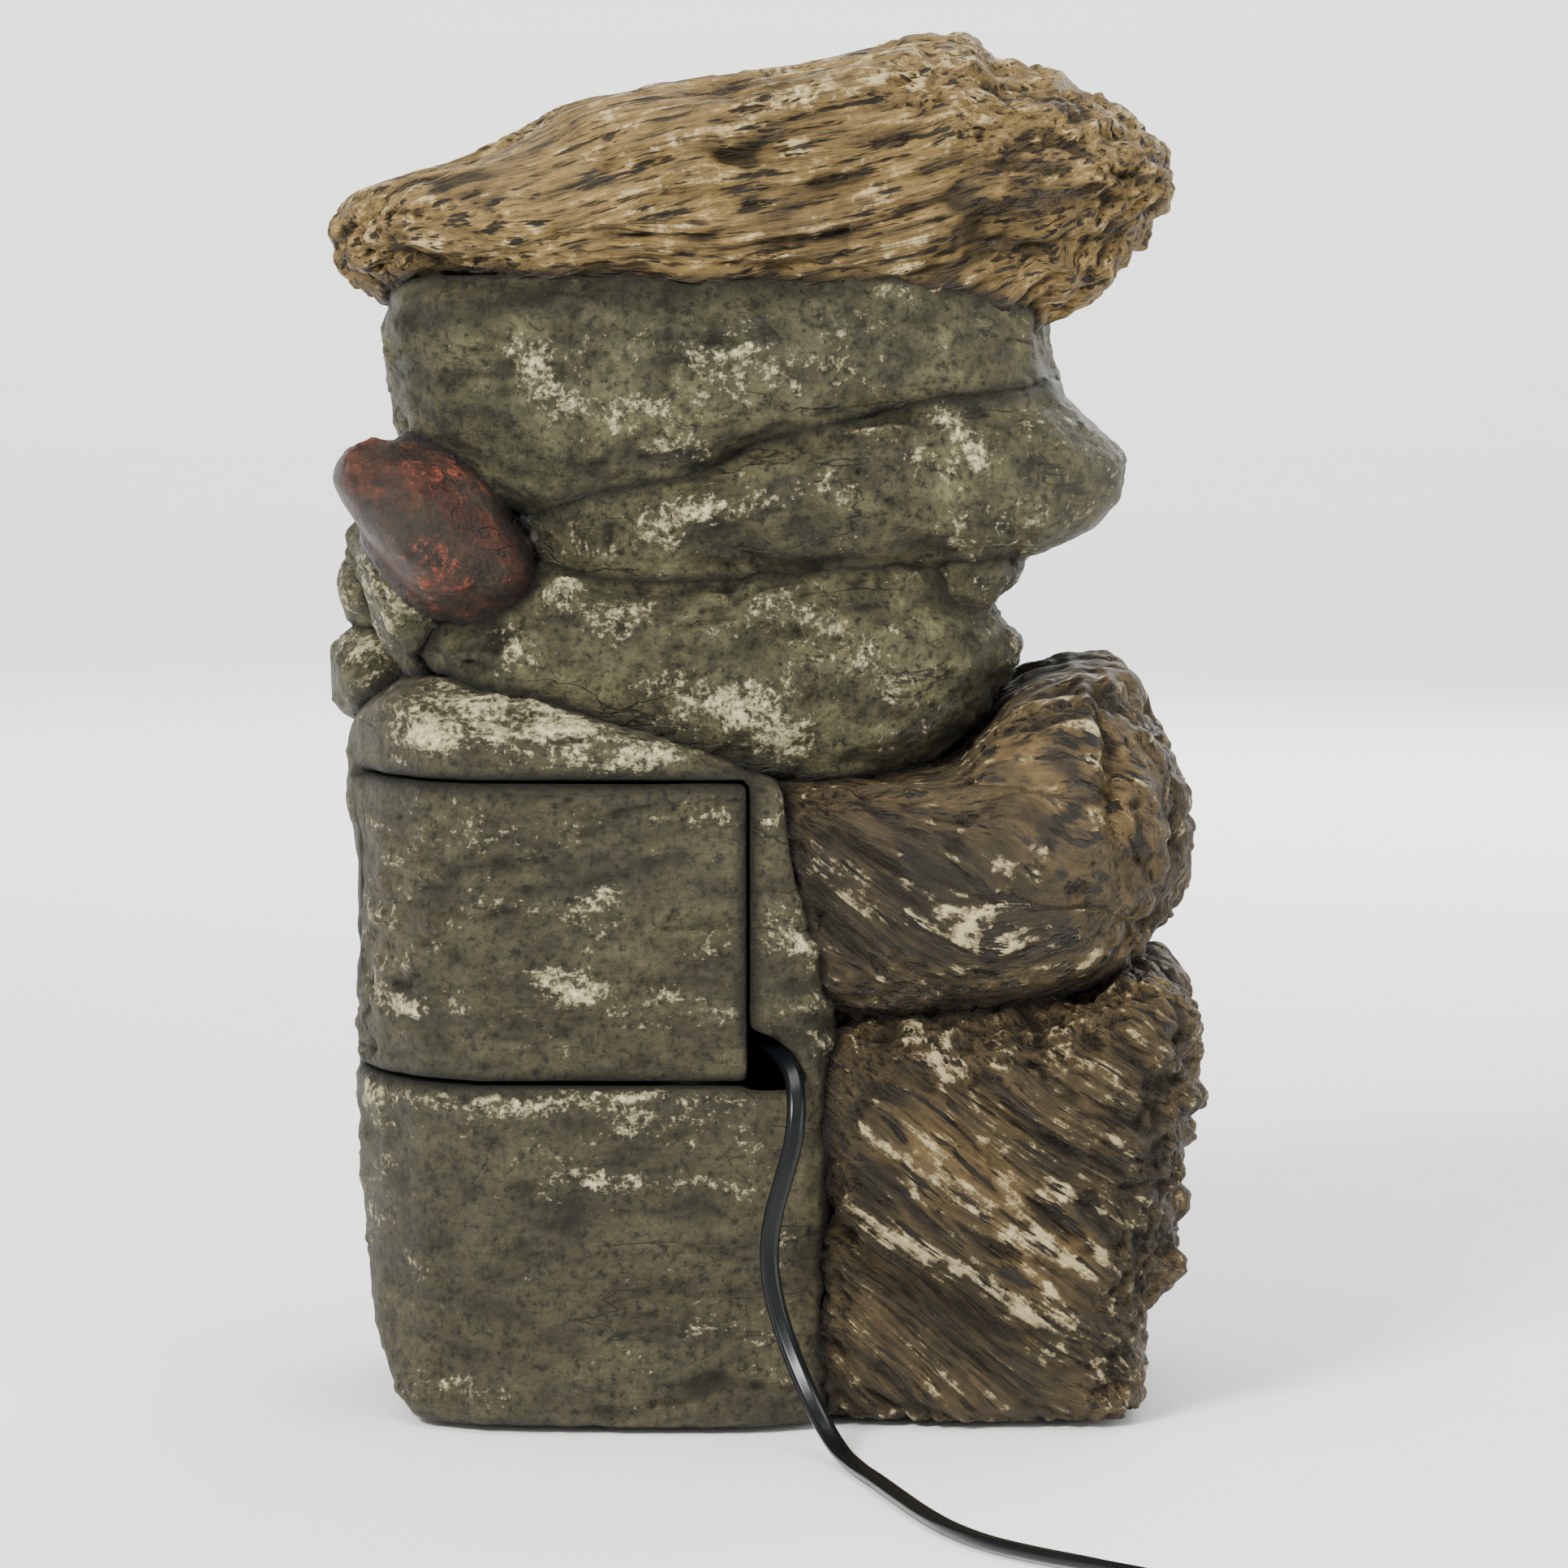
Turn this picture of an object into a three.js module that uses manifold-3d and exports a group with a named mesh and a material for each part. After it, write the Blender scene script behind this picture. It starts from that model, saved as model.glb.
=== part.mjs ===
// Tabletop water fountain: cast resin stones and driftwood stacked round a pump chamber.
// Millimetres, +Z up. The water falls on the -Y side, and the access cover is on the +Y side.
// The origin is on the ground under the middle of the castings' box.
import * as THREE from 'three';
import { mergeVertices } from 'three/addons/utils/BufferGeometryUtils.js';
import Module from 'manifold-3d';

// Driving dimensions
const gap = 0.3; // between castings bonded to each other, and round loose pieces
const footHeight = 1.2;
const baseBottom = footHeight + gap;
const floorTop = 7.5; // inside of the reservoir
const rimHeight = 58; // open front basin
const wall = 6.5;
const ledgeHeight = 70; // the lower block stops here and the access cover starts
const coverTop = 131;
const coverEdge = 2; // the cover's straight side edge, in X
const coverReturn = 30; // how far round the corner the cover reaches, in Y
const coverGap = 0.7;
const notchRadius = 12.5;
const riser = { x: 14, y: 16, inner: 5.3, outer: 6.8, bore: 8.6, top: 250, bend: 14 };
const spoutY = -22; // end of the riser in the top log's knothole
const pumpHeight = 31; // rotor axis above the ground
const cordWidth = 3.8;
const coil = { x: -66, y: 264, turnRadius: 21, turnsAcross: 5, layers: 2, bottom: 1.2 };
const adapter = { x: 6, y: 279, length: 42, width: 26, height: 16 };

const wasm = await Module();
wasm.setup();

// Finishes of the real pieces
const finishes = {
  greyStone: { color: 0x6f6b5c, roughness: 0.45, metalness: 0 },
  driftwood: { color: 0x96744a, roughness: 0.55, metalness: 0 },
  redStone: { color: 0x6d3b2e, roughness: 0.3, metalness: 0 },
  paleStone: { color: 0x9a917c, roughness: 0.5, metalness: 0 },
  blackPlastic: { color: 0x17181a, roughness: 0.4, metalness: 0 },
  blackRubber: { color: 0x101112, roughness: 0.7, metalness: 0 },
  clearHose: { color: 0xc9d2cf, roughness: 0.2, metalness: 0 },
  magnet: { color: 0x3b3c3e, roughness: 0.6, metalness: 0.3 },
  steel: { color: 0x9c9fa1, roughness: 0.4, metalness: 0.9 },
  copper: { color: 0xa3592c, roughness: 0.4, metalness: 0.9 },
  ceramic: { color: 0xe9e6dd, roughness: 0.3, metalness: 0 },
  brass: { color: 0xb9924a, roughness: 0.3, metalness: 0.9 },
};

const fountain = new THREE.Group();

function add(name, geometry, finish, parent = fountain) {
  const mesh = new THREE.Mesh(geometry, new THREE.MeshStandardMaterial(finishes[finish]));
  mesh.name = name;
  parent.add(mesh);
  return mesh;
}

// Solids and geometries

function toSolid(geometry) {
  const bare = geometry.clone();
  bare.deleteAttribute('normal');
  bare.deleteAttribute('uv');
  const merged = mergeVertices(bare, 1e-3);
  const triVerts = new Uint32Array(merged.index.array);
  const vertProperties = merged.attributes.position.array;
  const made = new wasm.Manifold(new wasm.Mesh({ numProp: 3, vertProperties, triVerts }));
  if (made.volume() > 0) return made;
  triVerts.reverse();
  return new wasm.Manifold(new wasm.Mesh({ numProp: 3, vertProperties, triVerts }));
}

function toGeometry(solid) {
  const mesh = solid.getMesh();
  const geometry = new THREE.BufferGeometry();
  const positions = new Float32Array(mesh.vertProperties);
  geometry.setAttribute('position', new THREE.BufferAttribute(positions, 3));
  geometry.setIndex(new THREE.BufferAttribute(new Uint32Array(mesh.triVerts), 1));
  geometry.computeVertexNormals();
  return geometry;
}

// The same solid with its skin moved out, so that a neighbour cut by it keeps a gap
function grown(solid, by = gap * 2) {
  const geometry = toGeometry(solid);
  const { position, normal } = geometry.attributes;
  const point = new THREE.Vector3();
  const out = new THREE.Vector3();
  for (let i = 0; i < position.count; i++) {
    point.fromBufferAttribute(position, i);
    point.addScaledVector(out.fromBufferAttribute(normal, i), by);
    position.setXYZ(i, point.x, point.y, point.z);
  }
  return toSolid(geometry);
}

const biggest = (solid) => solid.decompose().reduce((a, b) => (a.volume() > b.volume() ? a : b));

// Cuts the neighbours out of a casting, with the gap, and drops any slivers
const carved = (solid, ...neighbours) => biggest(neighbours.reduce((s, n) => s.subtract(grown(n)), solid));

function box([x0, x1], [y0, y1], [z0, z1]) {
  const geometry = new THREE.BoxGeometry(x1 - x0, y1 - y0, z1 - z0);
  return toSolid(geometry.translate((x0 + x1) / 2, (y0 + y1) / 2, (z0 + z1) / 2));
}

const turnTo = {
  x: (g) => g.rotateZ(-Math.PI / 2),
  y: (g) => g,
  z: (g) => g.rotateX(Math.PI / 2),
};

function cylinder(radius, axis, [from, to], centre = [0, 0], sides = 14) {
  const geometry = turnTo[axis](new THREE.CylinderGeometry(radius, radius, to - from, sides));
  const middle = (from + to) / 2;
  const [u, v] = centre;
  const place = { x: [middle, u, v], y: [u, middle, v], z: [u, v, middle] };
  return toSolid(geometry.translate(...place[axis]));
}

// A closed smooth line through the points
function smoothLoop(points) {
  return new THREE.CatmullRomCurve3(points.map(([u, v]) => new THREE.Vector3(u, v, 0)), true, 'centripetal');
}

// Extrudes an outline along an axis: (Y, Z) along X, (X, Z) along Y, or (X, Y) along Z
function prism(points, axis, [from, to], smooth = true) {
  const corners = points.map(([u, v]) => new THREE.Vector2(u, v));
  const rounded = () => smoothLoop(points).getSpacedPoints(Math.round(points.length * 1.5));
  const shape = new THREE.Shape(smooth ? rounded().map((p) => new THREE.Vector2(p.x, p.y)) : corners);
  const geometry = new THREE.ExtrudeGeometry(shape, { depth: to - from, bevelEnabled: false });
  const [X, Y, Z] = [new THREE.Vector3(1, 0, 0), new THREE.Vector3(0, 1, 0), new THREE.Vector3(0, 0, 1)];
  const basis = { x: [Y, Z, X], y: [X, Z, Y.clone().negate()], z: [X, Y, Z] }[axis];
  const shift = { x: [from, 0, 0], y: [0, to, 0], z: [0, 0, from] }[axis];
  geometry.applyMatrix4(new THREE.Matrix4().makeBasis(...basis).setPosition(...shift));
  return toSolid(geometry);
}

// A boulder: the outline is its silhouette in X and Z, and it swells from the outline to both sides.
// A smaller swell makes it boxier.
function boulder(points, [front, back], swell = 0.6, around = 30, across = 8) {
  const rim = smoothLoop(points);
  const bounds = new THREE.Box3().setFromPoints(rim.points);
  const middle = bounds.getCenter(new THREE.Vector3());
  const geometry = new THREE.SphereGeometry(1, around, across);
  const position = geometry.attributes.position;
  const direction = new THREE.Vector3();
  for (let i = 0; i < position.count; i++) {
    direction.fromBufferAttribute(position, i);
    const turn = (Math.atan2(direction.z, direction.x) / (2 * Math.PI) + 1) % 1;
    const reach = Math.hypot(direction.x, direction.z) ** swell;
    const depth = Math.sign(direction.y) * Math.abs(direction.y) ** swell;
    const at = rim.getPointAt(turn).lerp(middle, 1 - reach);
    position.setXYZ(i, at.x, (front + back) / 2 + (depth * (back - front)) / 2, at.y);
  }
  return toSolid(geometry);
}

// A smooth river pebble
function pebble([x, y, z], [a, b, c], turn = 0, tilt = 0) {
  const geometry = new THREE.SphereGeometry(1, 12, 7).scale(a, b, c).rotateY(tilt).rotateZ(turn);
  return toSolid(geometry.translate(x, y, z));
}

// Turns a profile of [radius, height] points round an axis through the local origin
function lathe(points, axis = 'z', sides = 16) {
  const profile = points.map(([r, h]) => new THREE.Vector2(r, h));
  return toGeometry(toSolid(turnTo[axis](new THREE.LatheGeometry(profile, sides))));
}

// A tube along a curve: the section is a ring when it has an inner radius
function tube(points, outer, steps, inner = 0, sides = 10) {
  const path = new THREE.CatmullRomCurve3(points.map((p) => new THREE.Vector3(...p)), false, 'centripetal');
  const circle = (radius) => {
    const turns = Array.from({ length: sides }, (_, i) => (i * 2 * Math.PI) / sides);
    return turns.map((turn) => new THREE.Vector2(radius * Math.cos(turn), radius * Math.sin(turn)));
  };
  const section = new THREE.Shape(circle(outer));
  if (inner > 0) section.holes.push(new THREE.Path(circle(inner)));
  return new THREE.ExtrudeGeometry(section, { steps, extrudePath: path, bevelEnabled: false });
}

// Reservoir casting: an open front basin and a closed rear block that holds the pump

const basinPlan = [
  [0, -66], [36, -62], [62, -49], [78, -26], [82, 2], [82, 26], [75, 46], [60, 59], [40, 64],
  [14, 64], [-8, 58], [-22, 44], [-44, 30], [-64, 16], [-76, -4], [-75, -26], [-62, -49], [-36, -62],
];
const blockPlan = [
  [-16, 48], [-12, 59], [2, 65], [22, 66], [44, 65.5], [61, 61], [75, 48], [82.5, 28], [84.5, 4],
  [80, -6], [60, -9], [20, -9], [-12, -8], [-18, 8], [-18, 30],
];
const blockBack = [
  [84.5, 131], [84.5, 137], [82, 142], [77, 146], [71, 149], [64, 150.5], [50, 147.5], [34, 142.5],
  [11, 134.5], [-4, 130], [-6, 113], [-10, 98], [-14, 85], [-17.5, 70], [-19, 48], [-18, 24],
  [-17, -4], [64, -4], [71, 4], [75, 10], [78, 18], [80, 28], [81, 45], [81.5, 70], [82, 88], [83, 110],
];
const blockSide = [
  [64, -4], [66, 20], [66, ledgeHeight - 2], [65, ledgeHeight - 0.5], [62.5, ledgeHeight], [62.5, 128],
  [61, 137], [55, 144], [46, 149], [34, 152], [-12, 154], [-12, -4],
];
const basinBack = [
  [-78, 70], [-78, 22], [-72, 8], [-64, -1], [64, -1], [71, 4], [75, 10], [78, 18], [80, 28], [82, 45],
  [82, 70],
];
const basinSide = [[-66, 70], [-66, 26], [-62, 12], [-54, -1], [64, -1], [66, 20], [66, 70]];
const chamberPlan = [
  [-11, 44], [-7, 54], [6, 58], [22, 59], [44, 58], [57, 54], [68, 43.5], [75.5, 26], [77.5, 5],
  [72, -2], [20, -2.5], [-7, -2], [-11.5, 10], [-11.5, 28],
];
const chamberBack = [
  [60, 0], [63, 8], [70, 18], [74, 30], [75, 88], [77, 128], [74, 138], [64, 143], [48, 140], [34, 135.5], [11, 127.5],
  [1, 124], [-1, 110], [-4, 96], [-8, 83], [-11.5, 68], [-12, 0],
];

const underground = box([-120, 120], [-120, 120], [-40, baseBottom]);
const block = prism(blockPlan, 'z', [0, 156])
  .intersect(prism(blockBack, 'y', [-20, 80], false))
  .intersect(prism(blockSide, 'x', [-40, 100], false))
  .subtract(underground);
const chamber = prism(chamberPlan, 'z', [floorTop, 146]).intersect(prism(chamberBack, 'y', [-20, 80], false));
const basin = prism(basinPlan, 'z', [0, rimHeight])
  .intersect(prism(basinBack, 'y', [-80, 80], false))
  .intersect(prism(basinSide, 'x', [-90, 90], false))
  .subtract(underground);
const poolShare = 1 - wall / 76;
const poolPlan = basinPlan.map(([x, y]) => [x * poolShare, y * poolShare]);
const poolBack = [[-71, 70], [-71, 26], [-61, floorTop - 1], [61, floorTop - 1], [71, 26], [71, 70]];
const poolSide = [[-60.4, 70], [-60.4, 28], [-52, floorTop - 1], [62, floorTop - 1], [62, 70]];
const pool = prism(poolPlan, 'z', [floorTop, rimHeight + 10])
  .intersect(prism(poolBack, 'y', [-80, 80], false))
  .intersect(prism(poolSide, 'x', [-90, 90], false))
  .subtract(block);
const riserBore = cylinder(riser.bore, 'z', [100, 240], [riser.x, riser.y]);
const notch = cylinder(notchRadius, 'y', [40, 80], [coverEdge + 1, ledgeHeight - 1.5], 32)
  .intersect(box([-20, coverEdge + 1], [40, 80], [ledgeHeight - 1.5, 90]));
const doorway = box([coverEdge, 100], [coverReturn, 80], [ledgeHeight, coverTop]);

function reservoir() {
  const slots = [0, 12, 24, 36, 48].map((x) => box([x, x + 4], [-14, 2], [10, 32]));
  const shell = basin.subtract(pool).add(block).subtract(chamber);
  return biggest([doorway, notch, riserBore, ...slots].reduce((s, cut) => s.subtract(cut), shell));
}

function accessCover() {
  const panel = box(
    [coverEdge + coverGap, 100],
    [coverReturn + coverGap, 80],
    [ledgeHeight + coverGap * 1.5, coverTop - coverGap],
  );
  return biggest(block.subtract(chamber).intersect(panel));
}

add('reservoir_casting', toGeometry(reservoir()), 'greyStone');
add('access_cover', toGeometry(accessCover()), 'greyStone');

// Back of the stack: logs on one side, stones up the middle, a driftwood log on top

const logOutlines = {
  lower: [
    [-4, -8], [-5, 24], [-6, 49], [-6, 69], [-12, 82], [-32, 82.5], [-60, 85.5], [-77, 90.5],
    [-86, 89], [-88, 84], [-87.5, 78], [-89.5, 70], [-89.5, 60], [-85.5, 54], [-84, 47], [-86, 36],
    [-84.5, 28], [-79, 21.5], [-78.5, 8], [-75, -8],
  ],
  middle: [
    [8, 126], [6, 113], [3, 100], [-3, 86], [-16, 80.5], [-44, 81.5], [-60, 84.5],
    [-77, 91.5], [-81, 98], [-85.5, 104], [-86.5, 112], [-88, 128], [-82, 135.5], [-79, 142],
    [-75, 148.5], [-70, 154], [-65, 151], [-54, 148], [-49, 144], [-41, 134], [-27, 130.5], [-8, 130],
  ],
  top: [
    [89.5, 240], [83, 247.5], [70, 251], [60, 254], [51, 257.5], [44, 263.5], [31, 267.5], [11, 271],
    [-12, 274], [-24, 276.5], [-36, 280], [-46, 277], [-51, 272], [-62, 271], [-69, 267.5], [-75, 260.5],
    [-83, 257], [-86.5, 248], [-80, 240.5], [-75, 233], [-67, 227], [-56, 221], [-27, 222.5], [6, 222.5],
    [39, 223.5], [62, 226], [84, 231],
  ],
};
const stoneOutlines = {
  upper: [
    [75, 230], [76, 208], [73, 198], [66, 195], [59, 190], [52, 181], [44, 183], [26.5, 186], [11, 190],
    [6, 195], [-15.5, 200], [-35, 205.5], [-50, 207], [-60.5, 208], [-60.5, 212], [-57, 219], [-54, 230],
    [10, 233],
  ],
  second: [
    [46, 186], [48, 176], [44, 170], [30, 167.5], [6, 168.5], [-10, 170], [-27, 172], [-45, 174], [-58, 175],
    [-66, 178], [-72, 182], [-76, 190], [-74.5, 197], [-66, 202], [-60, 208], [-48, 211], [-35, 208],
    [-15, 202.5], [6, 197.5], [11, 193], [27, 188],
  ],
  third: [
    [72, 156], [65, 162.5], [55, 166], [47, 171], [30, 172], [6, 173], [-10, 174], [-27, 175], [-38, 172],
    [-43, 165], [-49, 162.5], [-53.3, 156], [-52, 151.5], [-47, 144.5], [-41.5, 135.5], [-27, 129],
    [-12, 127.5], [11, 131], [34, 139], [52, 146], [65, 150],
  ],
  wedge: [[-34, 177], [-34, 166], [-43, 163.5], [-50, 168], [-51.5, 174.5], [-44, 178]],
  red: [
    [86.5, 191], [82, 197], [73, 198.3], [60, 191.5], [48.5, 178.5], [45.5, 169], [56, 163], [67, 165.5],
    [76, 175], [84, 186],
  ],
  side: [[84, 178], [81, 169], [76.5, 157], [71, 149], [62, 149], [58, 160], [62, 172], [74, 182]],
  rubbleUpper: [[85.5, 170], [86, 164], [83, 158], [76, 157], [72, 164], [77, 172]],
  rubbleLower: [[84, 157], [88.5, 150], [88, 143], [83, 138], [74, 139], [71, 148], [76, 157]],
};

const lowerLog = carved(boulder(logOutlines.lower, [-24, 62], 0.45, 34).subtract(underground), basin, block);
const middleLog = carved(boulder(logOutlines.middle, [-34, 61], 0.5, 34), block, lowerLog);
const thirdStone = carved(boulder(stoneOutlines.third, [-30, 54], 0.5), block, middleLog).subtract(riserBore);
const secondStone = carved(boulder(stoneOutlines.second, [-28, 54], 0.5), thirdStone).subtract(riserBore);
const topLogOuter = boulder(logOutlines.top, [-36, 52], 0.6, 42, 8);
const upperStoneOuter = carved(boulder(stoneOutlines.upper, [-30, 54], 0.5), secondStone, topLogOuter);
const upperStone = upperStoneOuter.subtract(riserBore);

// The riser leaves the knothole with room round it
const riserPath = [
  [riser.x, riser.y, pumpHeight + 17],
  [riser.x, riser.y, 130],
  [riser.x, riser.y, riser.top - riser.bend],
  [riser.x, riser.y - riser.bend * 0.3, riser.top - riser.bend * 0.3],
  [riser.x, riser.y - riser.bend, riser.top],
  [riser.x, spoutY, riser.top],
];
const knothole = cylinder(13, 'y', [-50, -12], [riser.x, riser.top]);
const riserSlot = toSolid(tube([[riser.x, riser.y, 200], ...riserPath.slice(2)], riser.bore, 8));
const topLog = topLogOuter.subtract(knothole).subtract(riserSlot);

const wedgeStone = carved(boulder(stoneOutlines.wedge, [-10, 46], 0.6, 16, 8), thirdStone, secondStone);
const redPebble = carved(
  boulder(stoneOutlines.red, [22, 60], 0.9, 20, 10), upperStone, secondStone, thirdStone, block,
);
const sideStone = carved(
  boulder(stoneOutlines.side, [-18, 42], 0.7, 18, 8), block, thirdStone, redPebble, upperStone,
);
const rubbleUpper = carved(
  boulder(stoneOutlines.rubbleUpper, [-30, 6], 0.7, 18, 8), sideStone, thirdStone, block, redPebble,
);
const rubbleLower = carved(
  boulder(stoneOutlines.rubbleLower, [-34, 10], 0.7, 18, 8), sideStone, thirdStone, block, rubbleUpper,
);

// Front of the stack: a rock face, a leaning branch and three bowls that the water steps down

const faceOutline = [
  [58, 150], [62, 120], [58, 84], [48, 62], [10, 60], [-30, 61], [-44, 74], [-46, 104], [-42, 130],
  [-20, 142], [20, 152],
];
const branchOutline = [
  [72, 50], [77, 80], [75, 118], [69, 156], [62, 190], [53, 192], [51, 160], [54, 120], [54, 84], [57, 50],
];
const bowls = {
  upper: { at: [8, -38, 208], size: [32, 26], depth: 22, behind: [upperStone, secondStone] },
  middle: { at: [24, -40, 160], size: [31, 25], depth: 22, behind: [thirdStone, secondStone] },
  lower: { at: [-26, -40.5, 112], size: [32, 24], depth: 22, behind: [middleLog] },
};

// A thick oval bowl with a pouring lip cut in its front edge
function bowl({ at, size, depth, behind }, lipTurn) {
  const [long] = size;
  const rimWidth = 5.5;
  const bottom = 6;
  const profile = [
    [0, -depth], [long * 0.48, -depth], [long * 0.82, -depth * 0.76], [long * 0.98, -depth * 0.34],
    [long, -2.5], [long - 1.5, 0], [long - rimWidth, 0], [long * 0.76, -depth * 0.3],
    [long * 0.55, bottom - depth], [0, bottom - depth],
  ];
  const turned = lathe(profile, 'z', 26).scale(1, size[1] / long, 1);
  const lip = toSolid(new THREE.CylinderGeometry(5, 5, 30, 16).translate(0, -long, 2).rotateZ(lipTurn));
  const solid = toSolid(turned).subtract(lip);
  return carved(toSolid(toGeometry(solid).translate(...at)), ...behind);
}

const upperBowl = bowl(bowls.upper, 0.5);
const middleBowl = bowl(bowls.middle, -0.6);
const lowerBowl = bowl(bowls.lower, 0.3);
const rockFace = carved(
  boulder(faceOutline, [-36, 14], 0.5), block, thirdStone, middleLog, lowerLog, basin, middleBowl, lowerBowl,
);
const branch = carved(
  boulder(branchOutline, [-50, -14], 0.75, 24, 8), block, basin, rockFace, thirdStone, secondStone,
  middleBowl, sideStone, rubbleUpper, rubbleLower, upperStone,
);

add('lower_log', toGeometry(lowerLog), 'driftwood');
add('middle_log', toGeometry(middleLog), 'driftwood');
add('top_log', toGeometry(biggest(topLog)), 'driftwood');
add('upper_stone', toGeometry(biggest(upperStone)), 'greyStone');
add('second_stone', toGeometry(biggest(secondStone)), 'greyStone');
add('third_stone', toGeometry(biggest(thirdStone)), 'greyStone');
add('wedge_stone', toGeometry(wedgeStone), 'greyStone');
add('red_pebble', toGeometry(redPebble), 'redStone');
add('side_stone', toGeometry(sideStone), 'greyStone');
add('rubble_stone_1', toGeometry(rubbleUpper), 'greyStone');
add('rubble_stone_2', toGeometry(rubbleLower), 'greyStone');
add('rock_face', toGeometry(rockFace), 'greyStone');
add('front_branch', toGeometry(branch), 'driftwood');
add('upper_bowl', toGeometry(upperBowl), 'greyStone');
add('middle_bowl', toGeometry(middleBowl), 'driftwood');
add('lower_bowl', toGeometry(lowerBowl), 'greyStone');

// Loose stones: three sit on the basin's rim, and river pebbles lie on its floor
const rimStones = [
  { at: [-50, -52, 62], size: [15, 9, 8], turn: -0.6 },
  { at: [-14, -57.6, 62], size: [17, 8, 7], turn: -0.1 },
  { at: [30, -56, 62], size: [16, 8.5, 8], turn: 0.2 },
];
rimStones.forEach(({ at, size, turn }, i) => {
  add(`rim_stone_${i + 1}`, toGeometry(carved(pebble(at, size, turn), basin, branch)), 'greyStone');
});
const riverPebbles = [
  { at: [-46, -32], size: [9, 6.5, 4.5], turn: 0.4, finish: 'paleStone' },
  { at: [-22, -44], size: [8, 6, 4.8], turn: -0.7, finish: 'redStone' },
  { at: [0, -30], size: [9.5, 7, 5], turn: 0.9, finish: 'greyStone' },
  { at: [22, -44], size: [8.5, 6, 4.4], turn: 0.1, finish: 'paleStone' },
  { at: [45, -30], size: [9, 7, 5], turn: -0.5, finish: 'greyStone' },
];
riverPebbles.forEach(({ at, size, turn, finish }, i) => {
  const resting = [...at, floorTop + gap + size[2]];
  add(`river_pebble_${i + 1}`, toGeometry(pebble(resting, size, turn)), finish);
});

// Rubber feet under the reservoir
const footPlaces = [[48, 40], [4, 48], [-44, -36], [44, -36]];
footPlaces.forEach(([x, y], i) => {
  const foot = new THREE.CylinderGeometry(7, 7, footHeight, 20).rotateX(Math.PI / 2);
  add(`rubber_foot_${i + 1}`, foot.translate(x, y, footHeight / 2), 'blackRubber');
});

// Riser hose and the sleeve that holds its end in the knothole
add('riser_hose', tube(riserPath, riser.outer, 16, riser.inner), 'clearHose');
const sleeveProfile = [[7.2, 0], [12, 0], [12, 4], [9, 4], [9, 9], [7.2, 9], [7.2, 0]];
const sleeve = add('spout_sleeve', lathe(sleeveProfile, 'y'), 'blackPlastic');
sleeve.position.set(riser.x, spoutY, riser.top);

// Submersible pump: the rotor turns about the local X axis, and the outlet points up at local X = 0
const pump = new THREE.Group();
pump.position.set(riser.x, riser.y, pumpHeight);
fountain.add(pump);
const joint = 7; // local X where the pump head meets the housing
const housingEnd = 46;
const half = 17; // half the housing's width and height

function pumpHousing() {
  const corner = 4;
  const flat = half - corner;
  const rounded = new THREE.Shape();
  rounded.absarc(flat, flat, corner, 0, Math.PI / 2);
  rounded.absarc(-flat, flat, corner, Math.PI / 2, Math.PI);
  rounded.absarc(-flat, -flat, corner, Math.PI, Math.PI * 1.5);
  rounded.absarc(flat, -flat, corner, Math.PI * 1.5, Math.PI * 2);
  const depth = housingEnd - joint - gap;
  const bar = new THREE.ExtrudeGeometry(rounded, { depth, bevelEnabled: false, curveSegments: 5 });
  bar.rotateY(Math.PI / 2).translate(joint + gap, 0, 0);
  const cavity = box([12, 60], [-13, 13], [-14, 14]).subtract(cylinder(9, 'x', [0, 33]));
  const well = cylinder(7.2, 'x', [0, 31.5]);
  const seal = cylinder(14, 'x', [6, 8.1]).subtract(cylinder(12, 'x', [5, 9]));
  return toSolid(bar).subtract(cavity).subtract(well).subtract(seal);
}

function pumpHead() {
  const drum = cylinder(15.5, 'x', [-7, joint]).add(cylinder(5, 'z', [0, 30]));
  const chamberCut = cylinder(11.5, 'x', [-3, 10]);
  const outlet = cylinder(3.4, 'z', [0, 40]);
  const seal = cylinder(14, 'x', [6.2, 8]).subtract(cylinder(12, 'x', [5, 9]));
  const bushSeat = cylinder(2.9, 'x', [-5, 0]);
  const inlets = [0, 1, 2, 3].map((i) => {
    const turn = (i * Math.PI) / 2;
    return cylinder(2.4, 'x', [-10, 0], [6.5 * Math.cos(turn), 6.5 * Math.sin(turn)], 10);
  });
  return [chamberCut, outlet, seal, bushSeat, ...inlets].reduce((s, cut) => s.subtract(cut), drum);
}

function impeller() {
  const hub = cylinder(3.2, 'x', [-1.6, 8.6]);
  const disc = cylinder(9, 'x', [4.6, 6]);
  const blades = [0, 1, 2, 3, 4, 5].map((i) => {
    const blade = new THREE.BoxGeometry(6, 8, 1.2).translate(2, 6, 0).rotateX((i * Math.PI) / 3);
    return toSolid(blade);
  });
  return blades.reduce((s, blade) => s.add(blade), hub.add(disc)).subtract(cylinder(1.4, 'x', [-5, 12]));
}

function intakeCover() {
  const shell = box([-20, -7 - gap], [-15, 15], [-16, 15]).subtract(box([-18, 0], [-13, 13], [-14, 13]));
  const slots = [-10, -6, -2, 2, 6, 10].map((z) => box([-25, -15], [-10, 10], [z - 1, z + 1]));
  const rails = [-13, 12].map((z) => box([-22, -19], [-13, 13], [z, z + 1.6]));
  return rails.reduce((s, rail) => s.add(rail), slots.reduce((s, slot) => s.subtract(slot), shell));
}

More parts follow.
